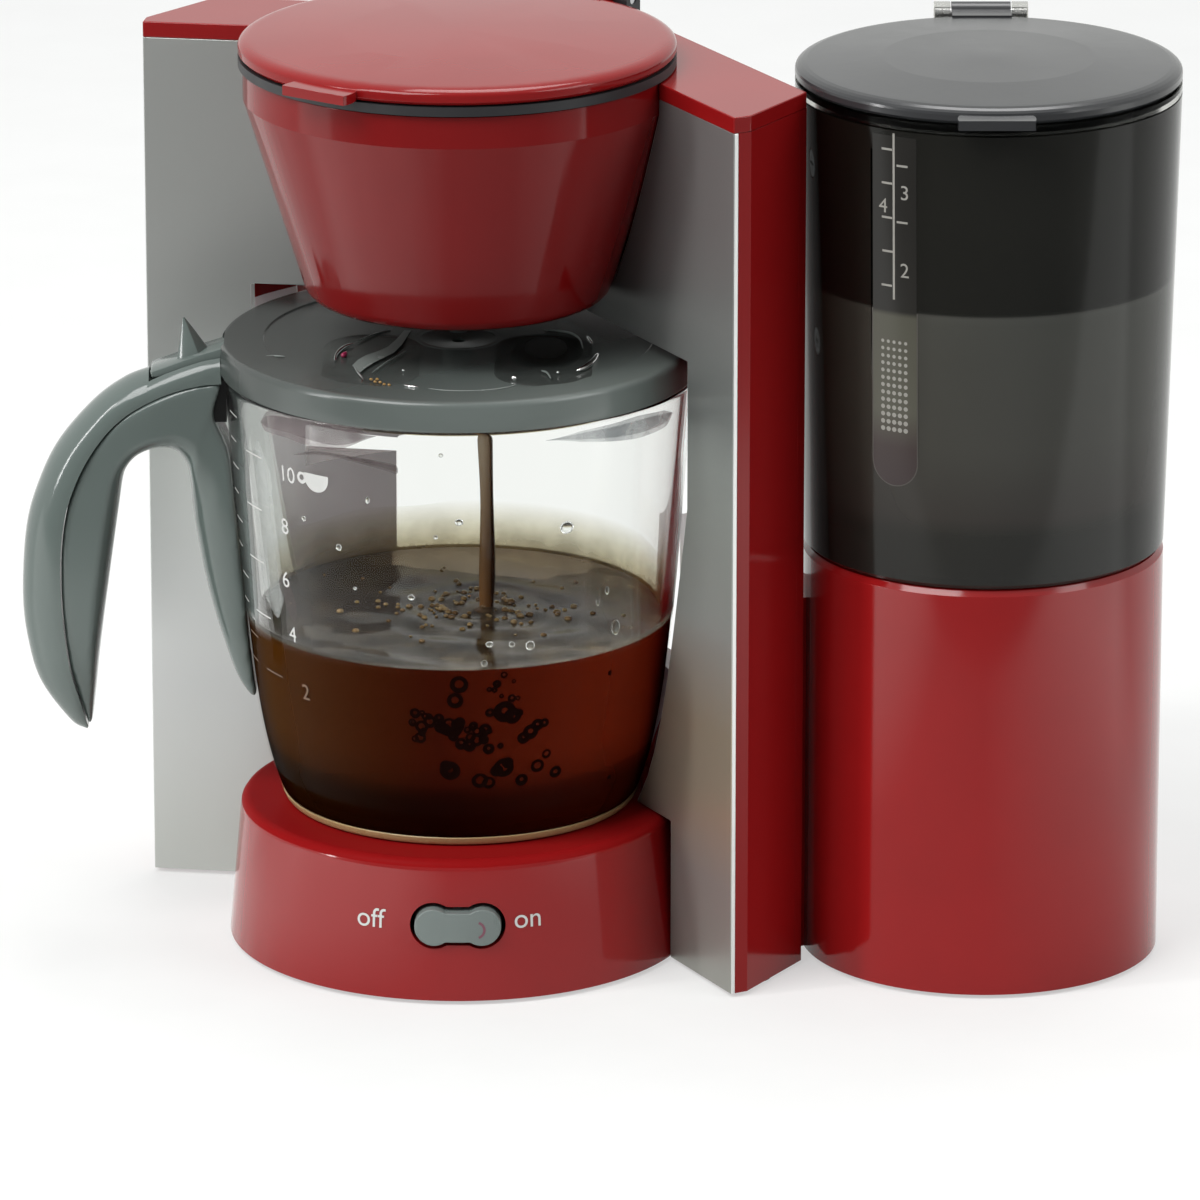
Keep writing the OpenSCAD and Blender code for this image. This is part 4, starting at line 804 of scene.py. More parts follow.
def hinge():
    """Cheeks that carry the shell's form on to the lid, and the lid's lever with its thumb fin."""
    top, low = smooth(CHEEK_TOP, 6), lifted_pts(CHEEK_LOW, 6)
    bm = bmesh.new()
    for side in (-1, 1):
        rings = []
        for k, (a, b) in enumerate(zip(top, low)):
            flat = 0.92 - 0.45 * k / (len(top) - 1)
            prof = [(4.42, b.y)]
            for j in range(11):
                t = rad(90 - 4.55 * j)
                prof.append((6.38 * sin(t), b.y + (a.y - b.y) * max(0.0, cos(t)) ** flat))
            rings.append([(a.x + (b.x - a.x) * (a.y - z) / max(1e-3, a.y - b.y), side * y, z) for y, z in prof])
        merge(bm, loft(rings))
    merge(bm, loft([[(p.x, y, p.y + up) for y, up in BRIDGE] for p in low]))
    ob = add("hinge_cheeks", bm, M_GREY, "jug", 40)
    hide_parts("hinge_bracket")
    # a black block in the gap where the handle meets the jug's rim: painted shade
    seat = loft([[(x, y, z) for x, z in GAP_SHADE] for y in (-5.6, 5.6)])
    add("hinge_seat", seat, M_SHADE_BLACK, "jug", 30)
    rings = []
    for k, (a, b) in enumerate(zip(smooth(LEVER_TOP, 6), smooth(LEVER_LOW, 6))):
        h = a.y - b.y
        e = min(0.5, h * 0.4)
        half = 4.1 * min(1.0, 0.62 + 0.09 * k)
        prof = [(-half + 0.2, 0), (-half, 0.2), (-half, h - e), (-half + 0.3 * e, h - 0.3 * e), (-half + e, h),
            (half - e, h), (half - 0.3 * e, h - 0.3 * e), (half, h - e), (half, 0.2), (half - 0.2, 0)]
        rings.append([(a.x + (b.x - a.x) * (1 - z / max(h, 1e-3)), y, b.y + z) for y, z in prof])
    bm = loft(rings)
    fin = []
    for k in range(11):
        t = k / 10
        m = (1 - t) ** 0.95 * 0.95 + 0.05
        fin.append([(FIN_TIP[0] + (x - FIN_TIP[0]) * m, y * m, 109.9 + (x + 50) * 0.3 * (1 - t) + FIN_H * t)
            for x, y in FIN_FOOT])
    merge(bm, loft(fin))
    ob = add("lever", bm, M_GREY, "jug_cover", 40)
    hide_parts("lid_lever")


# ---------- print on curved faces ----------


def around(radius, cx=0.0, cy=0.0):
    """Place function for print round an upright axis: angles in degrees run from the front towards +X."""

    def place(angle, z, u, v):
        r = radius(z + v)
        a = rad(angle) + u / r
        n = Vector((sin(a), -cos(a), 0))
        return n * r + Vector((cx, cy, z + v)), n

    return place


COFFEE_INSET = 0.3
on_jug = around(lambda z: jug_r(z - JUG_Z))
on_coffee = around(lambda z: jug_r(z - JUG_Z) - COFFEE_INSET)
on_base = around(base_at)
on_tank = around(tank_at, *TANK)


def on_rocker(angle, z, u, v):
    """A point on the rocker's own front face, under the point of the base's side."""
    p, n = on_base(angle, z, u, v)
    ob = NODES["switch_rocker"]
    back = ob.matrix_world.inverted()
    at = ob.matrix_world @ ob.ray_cast(back @ W(*(p + n * 8)), back.to_3x3() @ -n)[1]
    return Vector(((at.x - AX) * 1000, (at.y - AY) * 1000, (at.z - Z0) * 1000)), n


def printed(name, flats, place, mat, body, lift=0.03):
    """Flat meshes laid on a curved face: place gives a point and its normal in millimetres."""
    total = bmesh.new()
    for bm, (u0, v0) in flats:
        new = {}
        for v in bm.verts:
            p, n = place(u0, v0, v.co.x, v.co.y)
            new[v] = total.verts.new(p + n * lift)
        for f in bm.faces:
            total.faces.new([new[v] for v in f.verts])
        bm.free()
    add(name, total, mat, body, 60)


def text_mesh(words, size):
    """Flat mesh of a short text in millimetres, centred on the origin."""
    cu = bpy.data.curves.new("t_" + words, "FONT")
    cu.body = words
    cu.size = size
    cu.align_x = "CENTER"
    cu.align_y = "CENTER"
    ob = link("t_" + words, cu)
    me = shown_mesh(ob)
    bpy.data.objects.remove(ob)
    bpy.data.curves.remove(cu)
    bm = bmesh.new()
    bm.from_mesh(me)
    bpy.data.meshes.remove(me)
    return bm


def bar(w, h, n=6):
    """Flat bar of n pieces, for a tick mark that bends round."""
    return sheet([[(-w / 2 + w * i / n, y, 0) for i in range(n + 1)] for y in (-h / 2, h / 2)])


def dot(r):
    bm = bmesh.new()
    bm.faces.new([bm.verts.new(p) for p in circle(r, 10, 0)])
    return bm


def annulus(r, hole, n=20):
    """Flat ring, thicker at its lower side, as a bubble's outline looks from outside."""
    bm = bmesh.new()
    out = [bm.verts.new(p) for p in circle(r, n, 0)]
    inn = [bm.verts.new((x, y + 0.15 * (r - hole), 0)) for x, y in circle(hole, n)]
    for i in range(n):
        j = (i + 1) % n
        bm.faces.new((out[i], out[j], inn[j], inn[i]))
    return bm


def cup_mark():
    """Small plain cup, drawn beside the highest number."""
    bm = bmesh.new()
    bowl = [(0.5 + 2.8 * cos(rad(a)), 1.9 - 3.4 * max(0, sin(rad(a))) ** 0.8) for a in range(180, -1, -15)]
    bm.faces.new([bm.verts.new((x, y, 0)) for x, y in [(-2.3, 1.9)] + bowl])
    ear = annulus(1.15, 0.55, 16)
    bmesh.ops.translate(ear, verts=ear.verts, vec=(-2.9, 0.7, 0))
    merge(bm, ear)
    return bm


def reflection_arc():
    """Open arc, for the painted pink reflection on the rocker's pressed end."""
    return sheet([[(q * cos(rad(a)), q * sin(rad(a)), 0) for a in range(-70, 71, 10)] for q in (1.75, 1.3)])


JUG_NUMBERS_PX = (("2", 306, 693), ("4", 293, 635), ("6", 286, 580), ("8", 285, 527), ("10", 287, 475))
CUP_PX = (314, 484)
# the tank's scale as (height, offset from its upright line), and its numbers
TANK_TICKS = ((146.1, 1.7), (140.4, -1.3), (134.0, -1.5), (146.7, -1.4), (153.1, -1.4), (156.6, 1.7),
    (159.4, -1.4))
TANK_NUMBERS = (("2", 4.2, 137.0), ("4", -3.0, 148.7), ("3", 4.2, 151.5))
DOT_COLS, DOT_ROWS, DOT_Z = 5, 13, 107.0


def prints():
    white, dim = [], []
    for word, px, py in JUG_NUMBERS_PX:
        # the lowest number lies in front of the coffee, where the print looks darker
        flats = dim if word == "2" else white
        a, z = jug_spot(px, py)
        flats.append((text_mesh(word, 4.3), (a, z)))
        flats.append((bar(6.2, 0.26), (a - 14.5, z + 1.4)))
        flats.append((bar(5.0, 0.22), (a - 27, z + 6.6)))
        flats.append((bar(4.0, 0.22), (a - 29, z + 1.4)))
    white.append((cup_mark(), jug_spot(*CUP_PX)))
    printed("jug_scale", white, on_jug, M_INK, "jug")
    printed("jug_scale_low", dim, on_jug, M_INK_LOW, "jug")
    flats = [(text_mesh("off", 5.2), (-22.5, 14.6)), (text_mesh("on", 5.2), (17.8, 14.9))]
    printed("switch_words", flats, on_base, M_INK, "machine", 0.04)
    # a pink arc on the rocker's right end: a painted reflection of the red housing round it
    pink = plastic("pink_reflection", (0.2, 0.07, 0.1), 0.3)
    printed("switch_reflection", [(reflection_arc(), (4.4, 13.7))], on_rocker, pink, "switch", 0.04)
    flats = [(bar(0.42, 31, 1), (STRIP_TURN, 147.0))]
    for z, du in TANK_TICKS:
        flats.append((bar(2.2, 0.4, 2), (STRIP_TURN + math.degrees(du / tank_at(150)), z)))
    for word, turn, z in TANK_NUMBERS:
        flats.append((text_mesh(word, 3.8), (STRIP_TURN - 0.6 + turn, z)))
    printed("tank_scale", flats, on_tank, M_INK_DIM, "tank", 0.07)
    flats = []
    for i in range(DOT_COLS):
        for j in range(DOT_ROWS):
            flats.append((dot(0.33 + 0.011 * (DOT_ROWS - 1 - j)),
                (STRIP_TURN + math.degrees((i - 2) * 1.17 / 34), DOT_Z + j * 1.375)))
    printed("tank_dots", flats, on_tank, M_INK_DIM, "tank", 0.07)


# ---------- the lid's hollows ----------

# painted highlights and reflections, as beads on the lid: (pixels along the bead, radius)
GLINTS_PX = (([(335, 361), (336, 356), (340, 351), (346, 347), (354, 344)], 0.36),
    ([(354, 367), (358, 373), (363, 379), (361, 383)], 0.2), ([(404, 385.5), (411, 387), (418, 387.5)], 0.22),
    ([(587, 337), (589.5, 340), (592, 344)], 0.3), ([(577, 372), (585, 369), (593, 362.5), (598, 355)], 0.6),
    ([(513, 380), (514, 379.4), (515.5, 379)], 0.5), ([(557, 373), (558, 373), (559.5, 373)], 0.25),
    ([(402, 371), (403, 371), (404.5, 371)], 0.25))
HIGHLIGHT_LINES_PX = (([(357, 342), (368, 337), (380, 333), (391, 330)], 0.17),
    ([(372, 373), (384, 364), (396, 357), (406, 351)], 0.16),
    ([(428, 389), (450, 391), (480, 391), (505, 388), (517, 385)], 0.17),
    ([(544, 330), (560, 331.5), (572, 334), (580, 340), (583, 349)], 0.22),
    ([(541, 371), (547, 373), (551, 379)], 0.2), ([(264, 357.5), (272, 356.5), (285, 357)], 0.22))
PINK_PX = (([(342, 357), (344, 356), (346.5, 353.5)], 0.5),)
SPECKS_PX = ((371, 379.5), (375, 382), (380, 382.5), (384, 384.5), (389, 385), (377, 379.5))
# edges of the pale bar of painted reflection, and rows (y, left, right) of the dark patch of painted shade
BAR_LOW_PX = [(352, 366), (358, 360), (366, 355.5), (378, 351.5), (388, 347), (396, 340), (404, 331)]
BAR_HIGH_PX = [(360, 373), (366, 368), (374, 363), (384, 358), (394, 353), (402, 345), (411, 331)]
SHADE_PX = ((338, 523, 577), (342, 517, 581), (347, 513, 583), (352, 511, 583), (357, 510, 581),
    (362, 509, 576), (367, 511, 566))
SHADE_MID_PX, SHADE_SIDE_PX, SHADE_NEAR_PX = (546, 348), (586, 348), (546, 369)


def bead(points, r):
    """Thin round bead along a smooth line, tapered at both ends."""
    pts = smooth(points, 5)
    last = len(pts) - 1
    rings = []
    for i, p in enumerate(pts):
        d = (pts[min(i + 1, last)] - pts[max(i - 1, 0)]).normalized()
        side = d.cross(Vector((0, 0, 1))).normalized()
        up = side.cross(d)
        q = r * (0.15 + 0.85 * sqrt(max(0.0, sin(pi * i / last))))
        rings.append([p + (side * x + up * y) * q for x, y in circle(1, 10)])
    return loft(rings)


def lining(name, x0, amount):
    """Clear skin over one oval hollow, a little lower in its middle."""
    s = Shader(name)
    haze = s.remap(s.noise(160.0, 3.0), 0.3, 0.7, amount - 0.12, amount + 0.12)
    skin = s.principled(Base_Color=(0.066, 0.076, 0.07), Roughness=0.2)
    mat = s.finish(s.both(haze, s.clear((0.7, 0.72, 0.7)), skin))
    rows = []
    for k in range(25):
        v = 17.4 * sin(rad(-90 + 7.5 * k))
        h = 8.9 if abs(v) < 8.5 else sqrt(max(0.0, 8.9 ** 2 - (abs(v) - 8.5) ** 2))
        rows.append([(x0 + h * q, -15 + v, LID_TOP - 0.27 - 0.35 * (1 - q ** 2) * (h / 8.9))
            for q in (i / 5 - 1 for i in range(11))])
    add_to_lid(name, sheet(rows), mat)


def soft_dark():
    """Dark patch of painted shade that fades out from its middle."""
    mid, side, near = on_lid(*SHADE_MID_PX), on_lid(*SHADE_SIDE_PX), on_lid(*SHADE_NEAR_PX)
    s = Shader("hollow_shade")
    x, y, _ = s.xyz()
    dx = s.math("DIVIDE", s.math("SUBTRACT", x, W(*mid).x), (side.x - mid.x) / 1000)
    dy = s.math("DIVIDE", s.math("SUBTRACT", y, W(*mid).y), (mid.y - near.y) / 1000)
    far = s.math("ADD", s.math("MULTIPLY", dx, dx), s.math("MULTIPLY", dy, dy))
    dark = s.principled(Base_Color=(0.008, 0.008, 0.006), Roughness=0.4, Specular_IOR_Level=0.2)
    return s.finish(s.both(s.remap(far, 0.15, 0.95, 0.88, 0.0), s.clear(), dark))


def lid_details():
    """Clear lining of the lid's two hollows, glints and lines of painted highlight along their rims, a pale bar
    of painted reflection and specks.
    """
    lining("hollow_lens_left", -15.7, 0.86)
    lining("hollow_lens_right", 15.7, 0.8)
    specks = [([(x - 1, y), (x, y + 0.3), (x + 1.6, y + 0.6)], 0.26) for x, y in SPECKS_PX]
    for name, mat, beads in (("rim_glints", M_GLINT, GLINTS_PX), ("rim_highlight_lines", M_PALE_REFLECTION, HIGHLIGHT_LINES_PX),
            ("pink_spot", M_PINK, PINK_PX), ("gold_specks", M_GOLD, specks)):
        bm = bmesh.new()
        for points, r in beads:
            merge(bm, bead([on_lid(px, py, r * 0.5) for px, py in points], r))
        add_to_lid(name, bm, mat)
    rows = [[on_lid(a[0] + (b[0] - a[0]) * k / 4, a[1] + (b[1] - a[1]) * k / 4, 0.12) for k in range(5)]
        for a, b in zip(BAR_LOW_PX, BAR_HIGH_PX)]
    add_to_lid("pale_reflection", sheet(rows), M_PALE_REFLECTION)
    rows = [[on_lid(a + (b - a) * k / 8, y, 0.1) for k in range(9)] for y, a, b in SHADE_PX]
    add_to_lid("hollow_shade", sheet(rows), soft_dark())
    ring = [(1.2, -0.8), (4.4, -0.5), (8.1, -0.28), (8.1, -0.5), (4.4, -0.9), (1.2, -1.1)]
    add_to_lid("drip_ring", revolve([(r, LID_TOP + z) for r, z in ring], 64), M_LID)


# ---------- small details of housing, tank and jug ----------

CORNER_PX, CORNER_Y = (300, 292, 282), 45
# the tank's strip: its column, the rows of its low end, middle change and top change, and its depth
STRIP_PX, STRIP_ROWS_PX, STRIP_Y = 895, (484, 430, 309), -35


def window_corner():
    """Red filler behind the lid, where the window's upper left corner would let the background through."""
    px, low, high = CORNER_PX
    low, high = unproject(px, low, CORNER_Y)[1] - 2, unproject(px, high, CORNER_Y)[1] + 1
    rows = [[(x, 44, low), (x, 46, low), (x, 46, high), (x, 44, high)] for x in (-34, -28.2)]
    add("window_corner", loft(rows), M_RED, "machine", 40)


def tank_strip():
    """Clear window strip down the tank, with a round lower end and a fine outline; the light that comes through
    it is painted into its colour, darker where the cup stands.
    """

    def shape(r, low, top):
        rows = []
        for k in range(41):
            v = low + (top - low) * (k / 40) ** 2
            h = sqrt(max(0.0, r * r - (low + r - v) ** 2)) if v < low + r else r
            rows.append([(max(0.03, h) * (i / 4 - 1), v, 0) for i in range(9)])
        return sheet(rows)

    s = Shader("tank_strip")
    low, mid, top = [unproject(STRIP_PX, py, STRIP_Y)[1] for py in STRIP_ROWS_PX]
    span = 150 - low
    # painted light through the strip: dim red low down, lighter in the middle, dark above where the cup stands
    tone = s.ramp(s.remap(s.xyz()[2], Z0 + low / 1000, Z0 + 0.15), [(0.0, (0.042, 0.03, 0.03)),
        ((mid - low - 3) / span, (0.047, 0.034, 0.032)), ((mid - low + 4) / span, (0.085, 0.083, 0.064)),
        ((top - low - 1) / span, (0.08, 0.078, 0.06)), ((top - low) / span, (0.02, 0.019, 0.0165)),
        (1.0, (0.017, 0.016, 0.014))])
    mat = s.finish(s.principled(Base_Color=tone, Roughness=0.15, Specular_IOR_Level=0.2))
    line = plastic("strip_edge", (0.085, 0.078, 0.07), 0.3, peel=0.0, spec=0.2)
    printed("strip_outline", [(shape(4.72, low - 0.2, top), (STRIP_TURN, 0))], on_tank, line, "tank", 0.02)
    printed("strip_window", [(shape(4.5, low, 162), (STRIP_TURN, 0))], on_tank, mat, "tank", 0.04)


# each band of painted reflection and shade in the jug's wall: colour, strength and its two edges
GLASS_REFLECTIONS_PX = {
    "mauve": ((0.17, 0.125, 0.13), 0.55,
        [(256, 418), (264, 412), (293, 417), (328, 424), (350, 430), (374, 436)],
        [(255, 426), (262, 432), (283, 439), (308, 448), (334, 451), (372, 440)]),
    "grey": ((0.3, 0.33, 0.345), 0.5,
        [(548, 441), (592, 431), (620, 424), (645, 416), (666, 411), (676, 407)],
        [(550, 443.5), (592, 443), (620, 442), (645, 438), (668, 428), (678, 418)]),
    "edge": ((0.1, 0.075, 0.075), 0.5,
        [(288, 454), (310, 452), (332, 455), (360, 460), (391, 466), (396, 470)],
        [(289, 457), (310, 456), (332, 459), (360, 466), (391, 475), (395, 478)]),
    "pale": ((0.62, 0.64, 0.62), 0.3,
        [(243, 440), (246, 480), (250, 520), (255, 560), (260, 590), (264, 618)],
        [(262, 440), (266, 480), (270, 520), (275, 560), (279, 590), (282, 618)]),
    "dark_band": ((0.05, 0.03, 0.027), 0.5,
        [(273, 574), (274, 584), (277, 594), (280, 604), (284, 614), (287, 624)],
        [(281, 572), (285, 584), (288, 594), (291, 604), (292, 614), (293, 622)]),
}


def glass_reflections():
    """Soft bands of painted reflection and shade that the lid and the handle leave in the jug's wall, each of
    two layers.
    """
    for name, (col, amount, one, two) in GLASS_REFLECTIONS_PX.items():
        s = Shader("glass_reflection_" + name)
        haze = s.remap(s.noise(180.0, 3.0), 0.3, 0.7, amount * 0.7, amount * 1.25)
        skin = s.principled(Base_Color=col, Roughness=0.5, Specular_IOR_Level=0.0)
        mat = s.finish(s.both(haze, s.clear(), skin))
        bm = bmesh.new()
        a, b = smooth(one, 6), smooth(two, 6)
        mid = [(p + q) / 2 for p, q in zip(a, b)]
        for grow, back in ((1.0, 0.0), (0.6, 0.12)):
            rows = []
            for i, m in enumerate(mid):
                end = min(1.0, (i + 0.3) / 5, (len(mid) - 0.7 - i) / 5)
                row = []
                for k in range(5):
                    q = m + ((a[i] + (b[i] - a[i]) * k / 4) - m) * grow * end
                    turn, z = jug_spot(q.x, q.y)
                    r = jug_r(z - JUG_Z) - JUG_WALL - 0.12 - back
                    row.append((r * sin(rad(turn)), -r * cos(rad(turn)), z))
                rows.append(row)
            merge(bm, sheet(rows))
        add("glass_reflection_" + name, bm, mat, "jug", 60)


# ---------- coffee in the jug ----------

COFFEE_Z, STREAM_X = 62.5, 4.9
FOOT_SHADE_PX = (450, 790)


def surface_z(x, y):
    """Height of the stirred surface: rings round the stream, broken by a few crossing waves."""
    d = math.hypot(x - STREAM_X, y)
    ring = 0.35 * sin(d * 0.9) * math.exp(-d / 12)
    cross = 0.16 * sin(x * 0.33 + 1.3 * sin(y * 0.21)) + 0.1 * sin(y * 0.47 + x * 0.19)
    return COFFEE_Z - 0.3 + ring + cross * min(1, max(0, (39 - math.hypot(x, y)) / 4))


def across(s, left, mid, right):
    """Painted light across the jug: colour from its left to its right."""
    return s.ramp(s.remap(s.xyz()[0], AX - 0.036, AX + 0.036), [(0.0, left), (0.45, mid), (1.0, right)])


def coffee_body():
    """Brown with painted shade at its foot and at its sides and painted light towards its right; its middle
    lets a little light through.
    """
    s = Shader("coffee")
    tone = across(s, (0.05, 0.018, 0.002), (0.055, 0.0062, 0.002), (0.19, 0.018, 0.005))
    edge = s.node("LayerWeight", Blend=0.5).outputs["Facing"]
    # painted shade at the coffee's foot
    foot = Z0 + unproject(*FOOT_SHADE_PX, -37)[1] / 1000
    depth = s.grey_ramp(s.remap(s.xyz()[2], foot - 0.003, foot + 0.006),
        (0.0, 0.3, 0.38, 1.0), (0.2, 0.4, 0.66, 1))
    # painted shade at the sides, where the coffee is seen edge-on
    rim = s.ramp(edge, [(0.0, (1, 1, 1)), (0.68, (1, 1, 1)), (0.9, (0.25, 0.2, 0.2)), (1.0, (0.1, 0.08, 0.08))])
    clear_part = s.principled(Base_Color=(0.9, 0.7, 0.5), Transmission_Weight=1.0, IOR=1.3, Roughness=0.0,
        Specular_Tint=(0.05, 0.05, 0.05))
    brown_part = s.principled(Base_Color=s.times(tone, s.times(depth, rim)), Roughness=0.3,
        Specular_IOR_Level=0.0)
    seen = s.both(s.remap(edge, 0.1, 0.6, 0.6, 1.0), clear_part, brown_part)
    absorb = s.node("VolumeAbsorption", Color=(0.52, 0.2, 0.08), Density=62.0)
    return s.finish(s.by_ray(SHADOW, seen, s.clear((0.25, 0.08, 0.04))), absorb)


def coffee_top():
    """Patchy surface with fine ripples, with painted light towards the right."""
    s = Shader("coffee_surface")
    ripple = s.noise(300.0, 4.0, 0.6)
    patch = s.ramp(s.noise(130.0, 5.0, 0.62),
        [(0.36, (0.012, 0.008, 0.004)), (0.5, (0.042, 0.028, 0.014)), (0.64, (0.13, 0.1, 0.06))])
    # painted light: the surface grows lighter towards the right
    run = across(s, (0.75, 0.75, 0.78), (1.0, 1.0, 1.0), (2.0, 1.95, 1.7))
    clear_part = s.principled(Base_Color=(0.85, 0.68, 0.45), Transmission_Weight=1.0, IOR=1.15, Roughness=0.01,
        Normal=s.bump(ripple, 0.12, 0.0004))
    brown_part = s.principled(Base_Color=s.times(patch, run), Roughness=0.14, IOR=1.15,
        Normal=s.bump(ripple, 0.2, 0.0004))
    return s.finish(s.by_ray(SHADOW, s.both(0.68, clear_part, brown_part), s.clear((0.4, 0.2, 0.1))))


def coffee():
    """The coffee; it reaches almost to the outer wall, as the clear wall's bending of light makes it look."""
    foot = [(20, 1.0), (jug_r(0) - 2.6, 1.0), (jug_r(0.6) - 0.9, 1.25), (jug_r(1.5) - 0.35, 1.8)]
    top = COFFEE_Z - JUG_Z
    side = [2.2 + (top - 2.2) * (i / 20) ** 1.2 for i in range(21)]
    r = jug_r(top) - COFFEE_INSET
    prof = [(p, JUG_Z + h) for p, h in foot] + [(jug_r(h) - COFFEE_INSET, JUG_Z + h) for h in side]
    prof += [(r - 1.6, COFFEE_Z - 0.02), (r - 2.2, COFFEE_Z - 0.25)]
    n = 144
    rings = [circle(p, n, z) for p, z in prof]
    for k in range(1, 40):
        rings.append([(x, y, surface_z(x, y)) for x, y in circle((r - 2.2) * (1 - k / 40), n)])
    ob = add("coffee", loft(rings), coffee_body(), "jug", 80)
    ob.data.materials.append(coffee_top())
    limit = W(0, 0, COFFEE_Z - 1.2).z
    for f in ob.data.polygons:
        if f.center.z > limit and f.normal.z > 0.6:
            f.material_index = 1


def stream():
    s = Shader("coffee_stream")
    x, _, z = s.xyz()
    tone = s.ramp(s.remap(z, Z0 + 0.062, Z0 + 0.107),
        [(0.0, (0.3, 0.14, 0.045)), (0.35, (0.26, 0.15, 0.065)), (1.0, (0.5, 0.42, 0.3))])
    # painted shade down the stream's right side
    side_shade = s.ramp(s.remap(x, AX + 0.0036, AX + 0.0066),
        [(0.3, (1, 1, 1)), (0.62, (0.75, 0.66, 0.6)), (0.8, (0.16, 0.09, 0.06))])
    mat = s.finish(s.principled(Base_Color=s.times(tone, side_shade), Roughness=0.12, Transmission_Weight=0.35,
        IOR=1.33, Normal=s.bump(s.noise(300.0), 0.2, 0.0004)))
    low, high = 61.5, 108.0
    rings = []
    for k in range(61):
        t = k / 60
        r = 1.25 + 0.28 * sin(t * 9.0) * (1 - t) + (0.9 if k == 0 else 0) + 0.25 * t
        x = STREAM_X + 0.25 * sin(t * 5.0)
        rings.append([(x + r * u, 0.9 * r * v, low + (high - low) * t) for u, v in circle(1, 24)])
    add("stream", loft(rings), mat, "jug", 60)


def film():
    """Thin amber film that the coffee leaves on the far wall, with a wavy upper edge."""
    s = Shader("amber_film")
    fade = s.remap(s.xyz()[2], Z0 + 0.0625, Z0 + 0.0715, 1.0, 0.0)
    amount = s.math("MULTIPLY", fade, s.remap(s.noise(90.0, 4.0, 0.6), 0.25, 0.6, 0.35, 0.8))
    tint = s.ramp(fade, [(0.0, (1, 1, 1)), (0.5, (0.9, 0.86, 0.7)), (1.0, (0.75, 0.66, 0.42))])
    mat = s.finish(s.both(amount, s.clear(tint), s.principled(Base_Color=(0.2, 0.13, 0.04), Roughness=0.35)))
    rows = []
    for k in range(9):
        row = []
        for i in range(97):
            a = rad(-75 + 165 * i / 96)
            z = 62.3 + (9.6 + 1.2 * sin(3.1 * a) + 0.5 * sin(9 * a)) * k / 8
            r = jug_r(z - JUG_Z) - JUG_WALL - 0.1
            row.append((r * sin(a), r * cos(a), z))
        rows.append(row)
    add("coffee_film", sheet(rows), mat, "jug", 60)


# larger bubbles as (x, y, radius), and the streaks in which the small ones lie
BUBBLES_PX = [(459, 685, 1.7), (455, 701, 1.5), (505, 712, 2.1), (513, 716, 1.6), (531, 732, 1.5),
    (538, 725, 1.2), (524, 738, 1.2), (545, 723, 0.9), (450, 771, 1.9), (504, 768, 1.9), (538, 766, 1.3),
    (556, 772, 1.2), (547, 754, 0.9), (480, 781, 1.5), (489, 783, 1.2), (522, 780, 1.2), (611, 673, 0.5),
    (610, 777, 0.45), (508, 763, 1.1), (497, 771, 1.2), (446, 766, 1.1), (420, 738, 1.1), (415, 739, 0.7)]
STREAK_PX, STREAK_RUN_PX, CLOUD_PX = (418, 724), (76, 22), (500, 690)


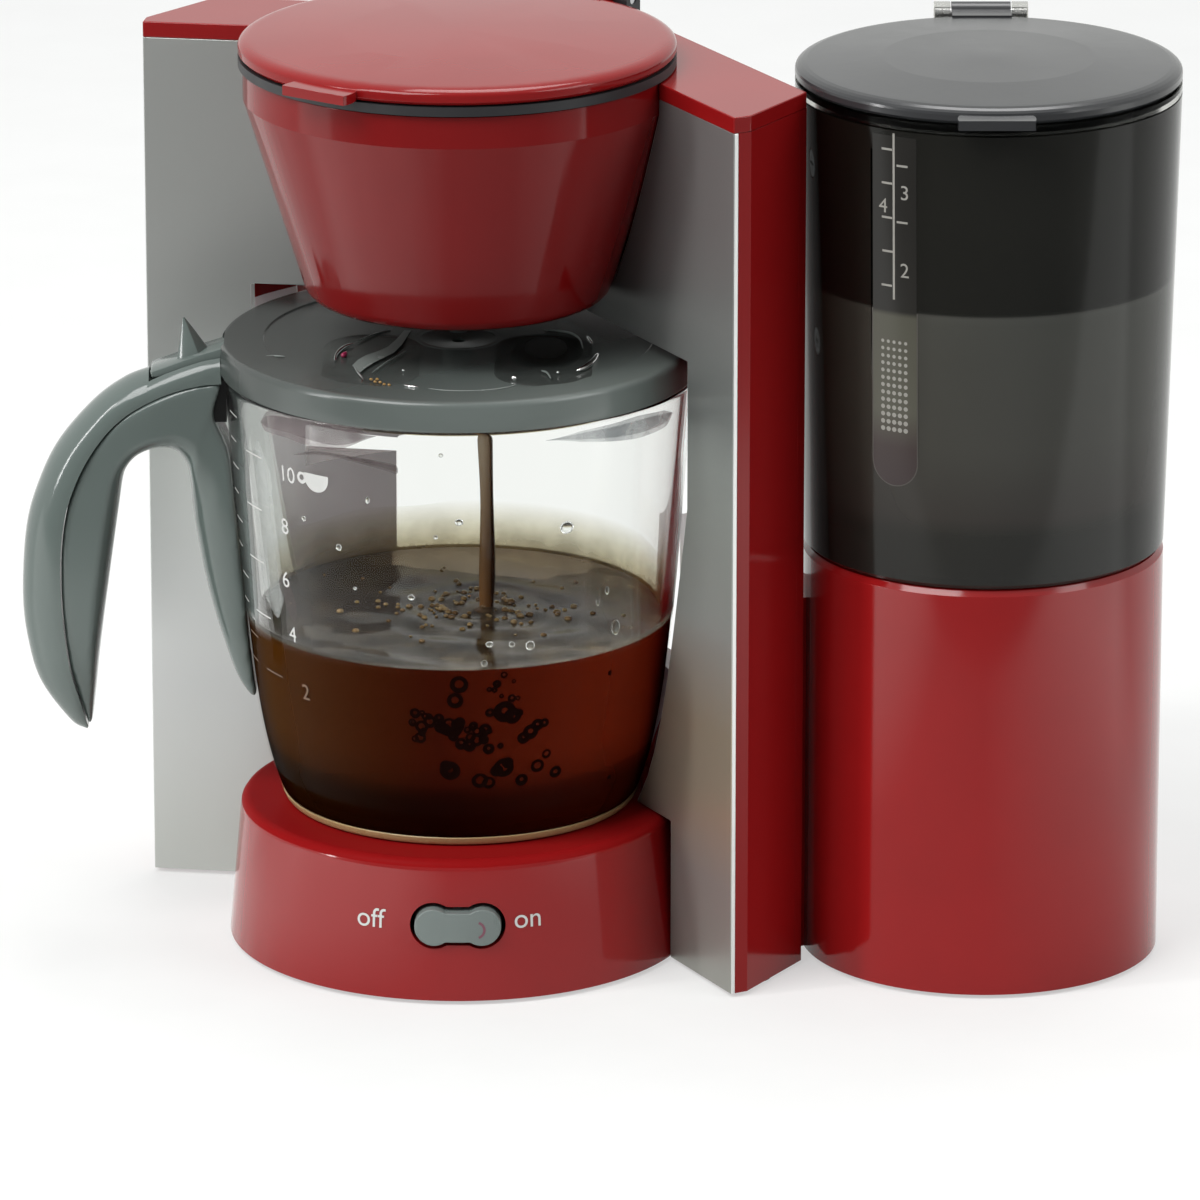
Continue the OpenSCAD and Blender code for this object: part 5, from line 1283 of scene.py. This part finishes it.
def foam_and_bubbles():
    rnd = random.Random(7)
    seen = list(BUBBLES_PX)
    for i in range(46):
        t = i / 45
        seen.append((STREAK_PX[0] + STREAK_RUN_PX[0] * t + rnd.uniform(-9, 9),
            STREAK_PX[1] + STREAK_RUN_PX[1] * t + rnd.uniform(-14, 9), rnd.uniform(0.5, 1.25)))
    for _ in range(12):
        seen.append((CLOUD_PX[0] + rnd.uniform(-14, 20), CLOUD_PX[1] + rnd.uniform(-16, 30),
            rnd.uniform(0.4, 0.9)))
    flats = [(annulus(r, r * rnd.uniform(0.2, 0.55)), jug_spot(px, py)) for px, py, r in seen]
    ink = plastic("bubble_edge", (0.006, 0.002, 0.0015), 0.6, peel=0.0, spec=0.0)
    printed("bubbles", flats, on_coffee, ink, "jug", 0.06)
    s = Shader("foam_bead")
    tone = s.ramp(s.noise(500.0), [(0.35, (0.2, 0.1, 0.03)), (0.65, (0.5, 0.33, 0.12))])
    mat = s.finish(s.principled(Base_Color=tone, Roughness=0.12, Transmission_Weight=0.4))
    bm = bmesh.new()
    for _ in range(120):
        a, d = rnd.uniform(0, 2 * pi), abs(rnd.gauss(0, 1)) * 9 + 2.2
        x, y = STREAM_X - 4 + 1.7 * d * cos(a), d * sin(a)
        if math.hypot(x, y) < 35:
            z = surface_z(x, y) + 0.1
            made = bmesh.ops.create_uvsphere(bm, u_segments=12, v_segments=6, radius=rnd.uniform(0.25, 0.75))
            for v in made["verts"]:
                v.co = Vector((v.co.x + x, v.co.y + y, v.co.z * 0.7 + z))
    add("foam", bm, mat, "jug", 70)


# drops as (x, y, width, height)
DROPS_PX = [(459, 521, 1.0, 0.8), (441, 454, 0.55, 0.5), (565, 526, 1.7, 1.5), (412, 596, 0.8, 0.7),
    (489, 643, 0.9, 0.7), (511, 643, 0.7, 0.7), (529, 644, 1.1, 1.1), (612, 626, 1.3, 1.9),
    (604, 589, 0.6, 1.0), (595, 600, 0.5, 1.1), (484, 662, 0.7, 0.8), (341, 546, 0.7, 0.8),
    (307, 517, 0.6, 0.6), (369, 499, 0.5, 0.8), (357, 587, 0.5, 0.4), (651, 631, 0.9, 1.3),
    (436, 536, 0.5, 0.5)]


def drops():
    """Drops on the inside of the jug's front, at the places that the photograph shows."""
    bm = bmesh.new()
    for px, py, w, h in DROPS_PX:
        x, y, z, r = jug_hit(px, py, JUG_WALL, y=-38.0, rounds=4)
        a = math.atan2(x, -y)
        made = bmesh.ops.create_uvsphere(bm, u_segments=18, v_segments=12, radius=1)
        for v in made["verts"]:
            u, d, q = v.co.x * w * 0.8, max(v.co.y, -0.15) * 0.45 * w, v.co.z * h * 0.8
            rr = r - 0.02 - d
            aa = a + u / r
            v.co = Vector((rr * sin(aa), -rr * cos(aa), z + q))
    add("drops", bm, M_LENS, "jug", 70)


camera()
room()
for build in (jug_shell, handle_back, handle_grip, hinge, coffee, stream, film, foam_and_bubbles, drops,
        prints, lid_details, tank_strip, glass_reflections, window_corner):
    build()
for node, width in SOFT.items():
    soften(node, PLAIN[node], width)

bpy.context.scene.view_settings.view_transform = "Standard"
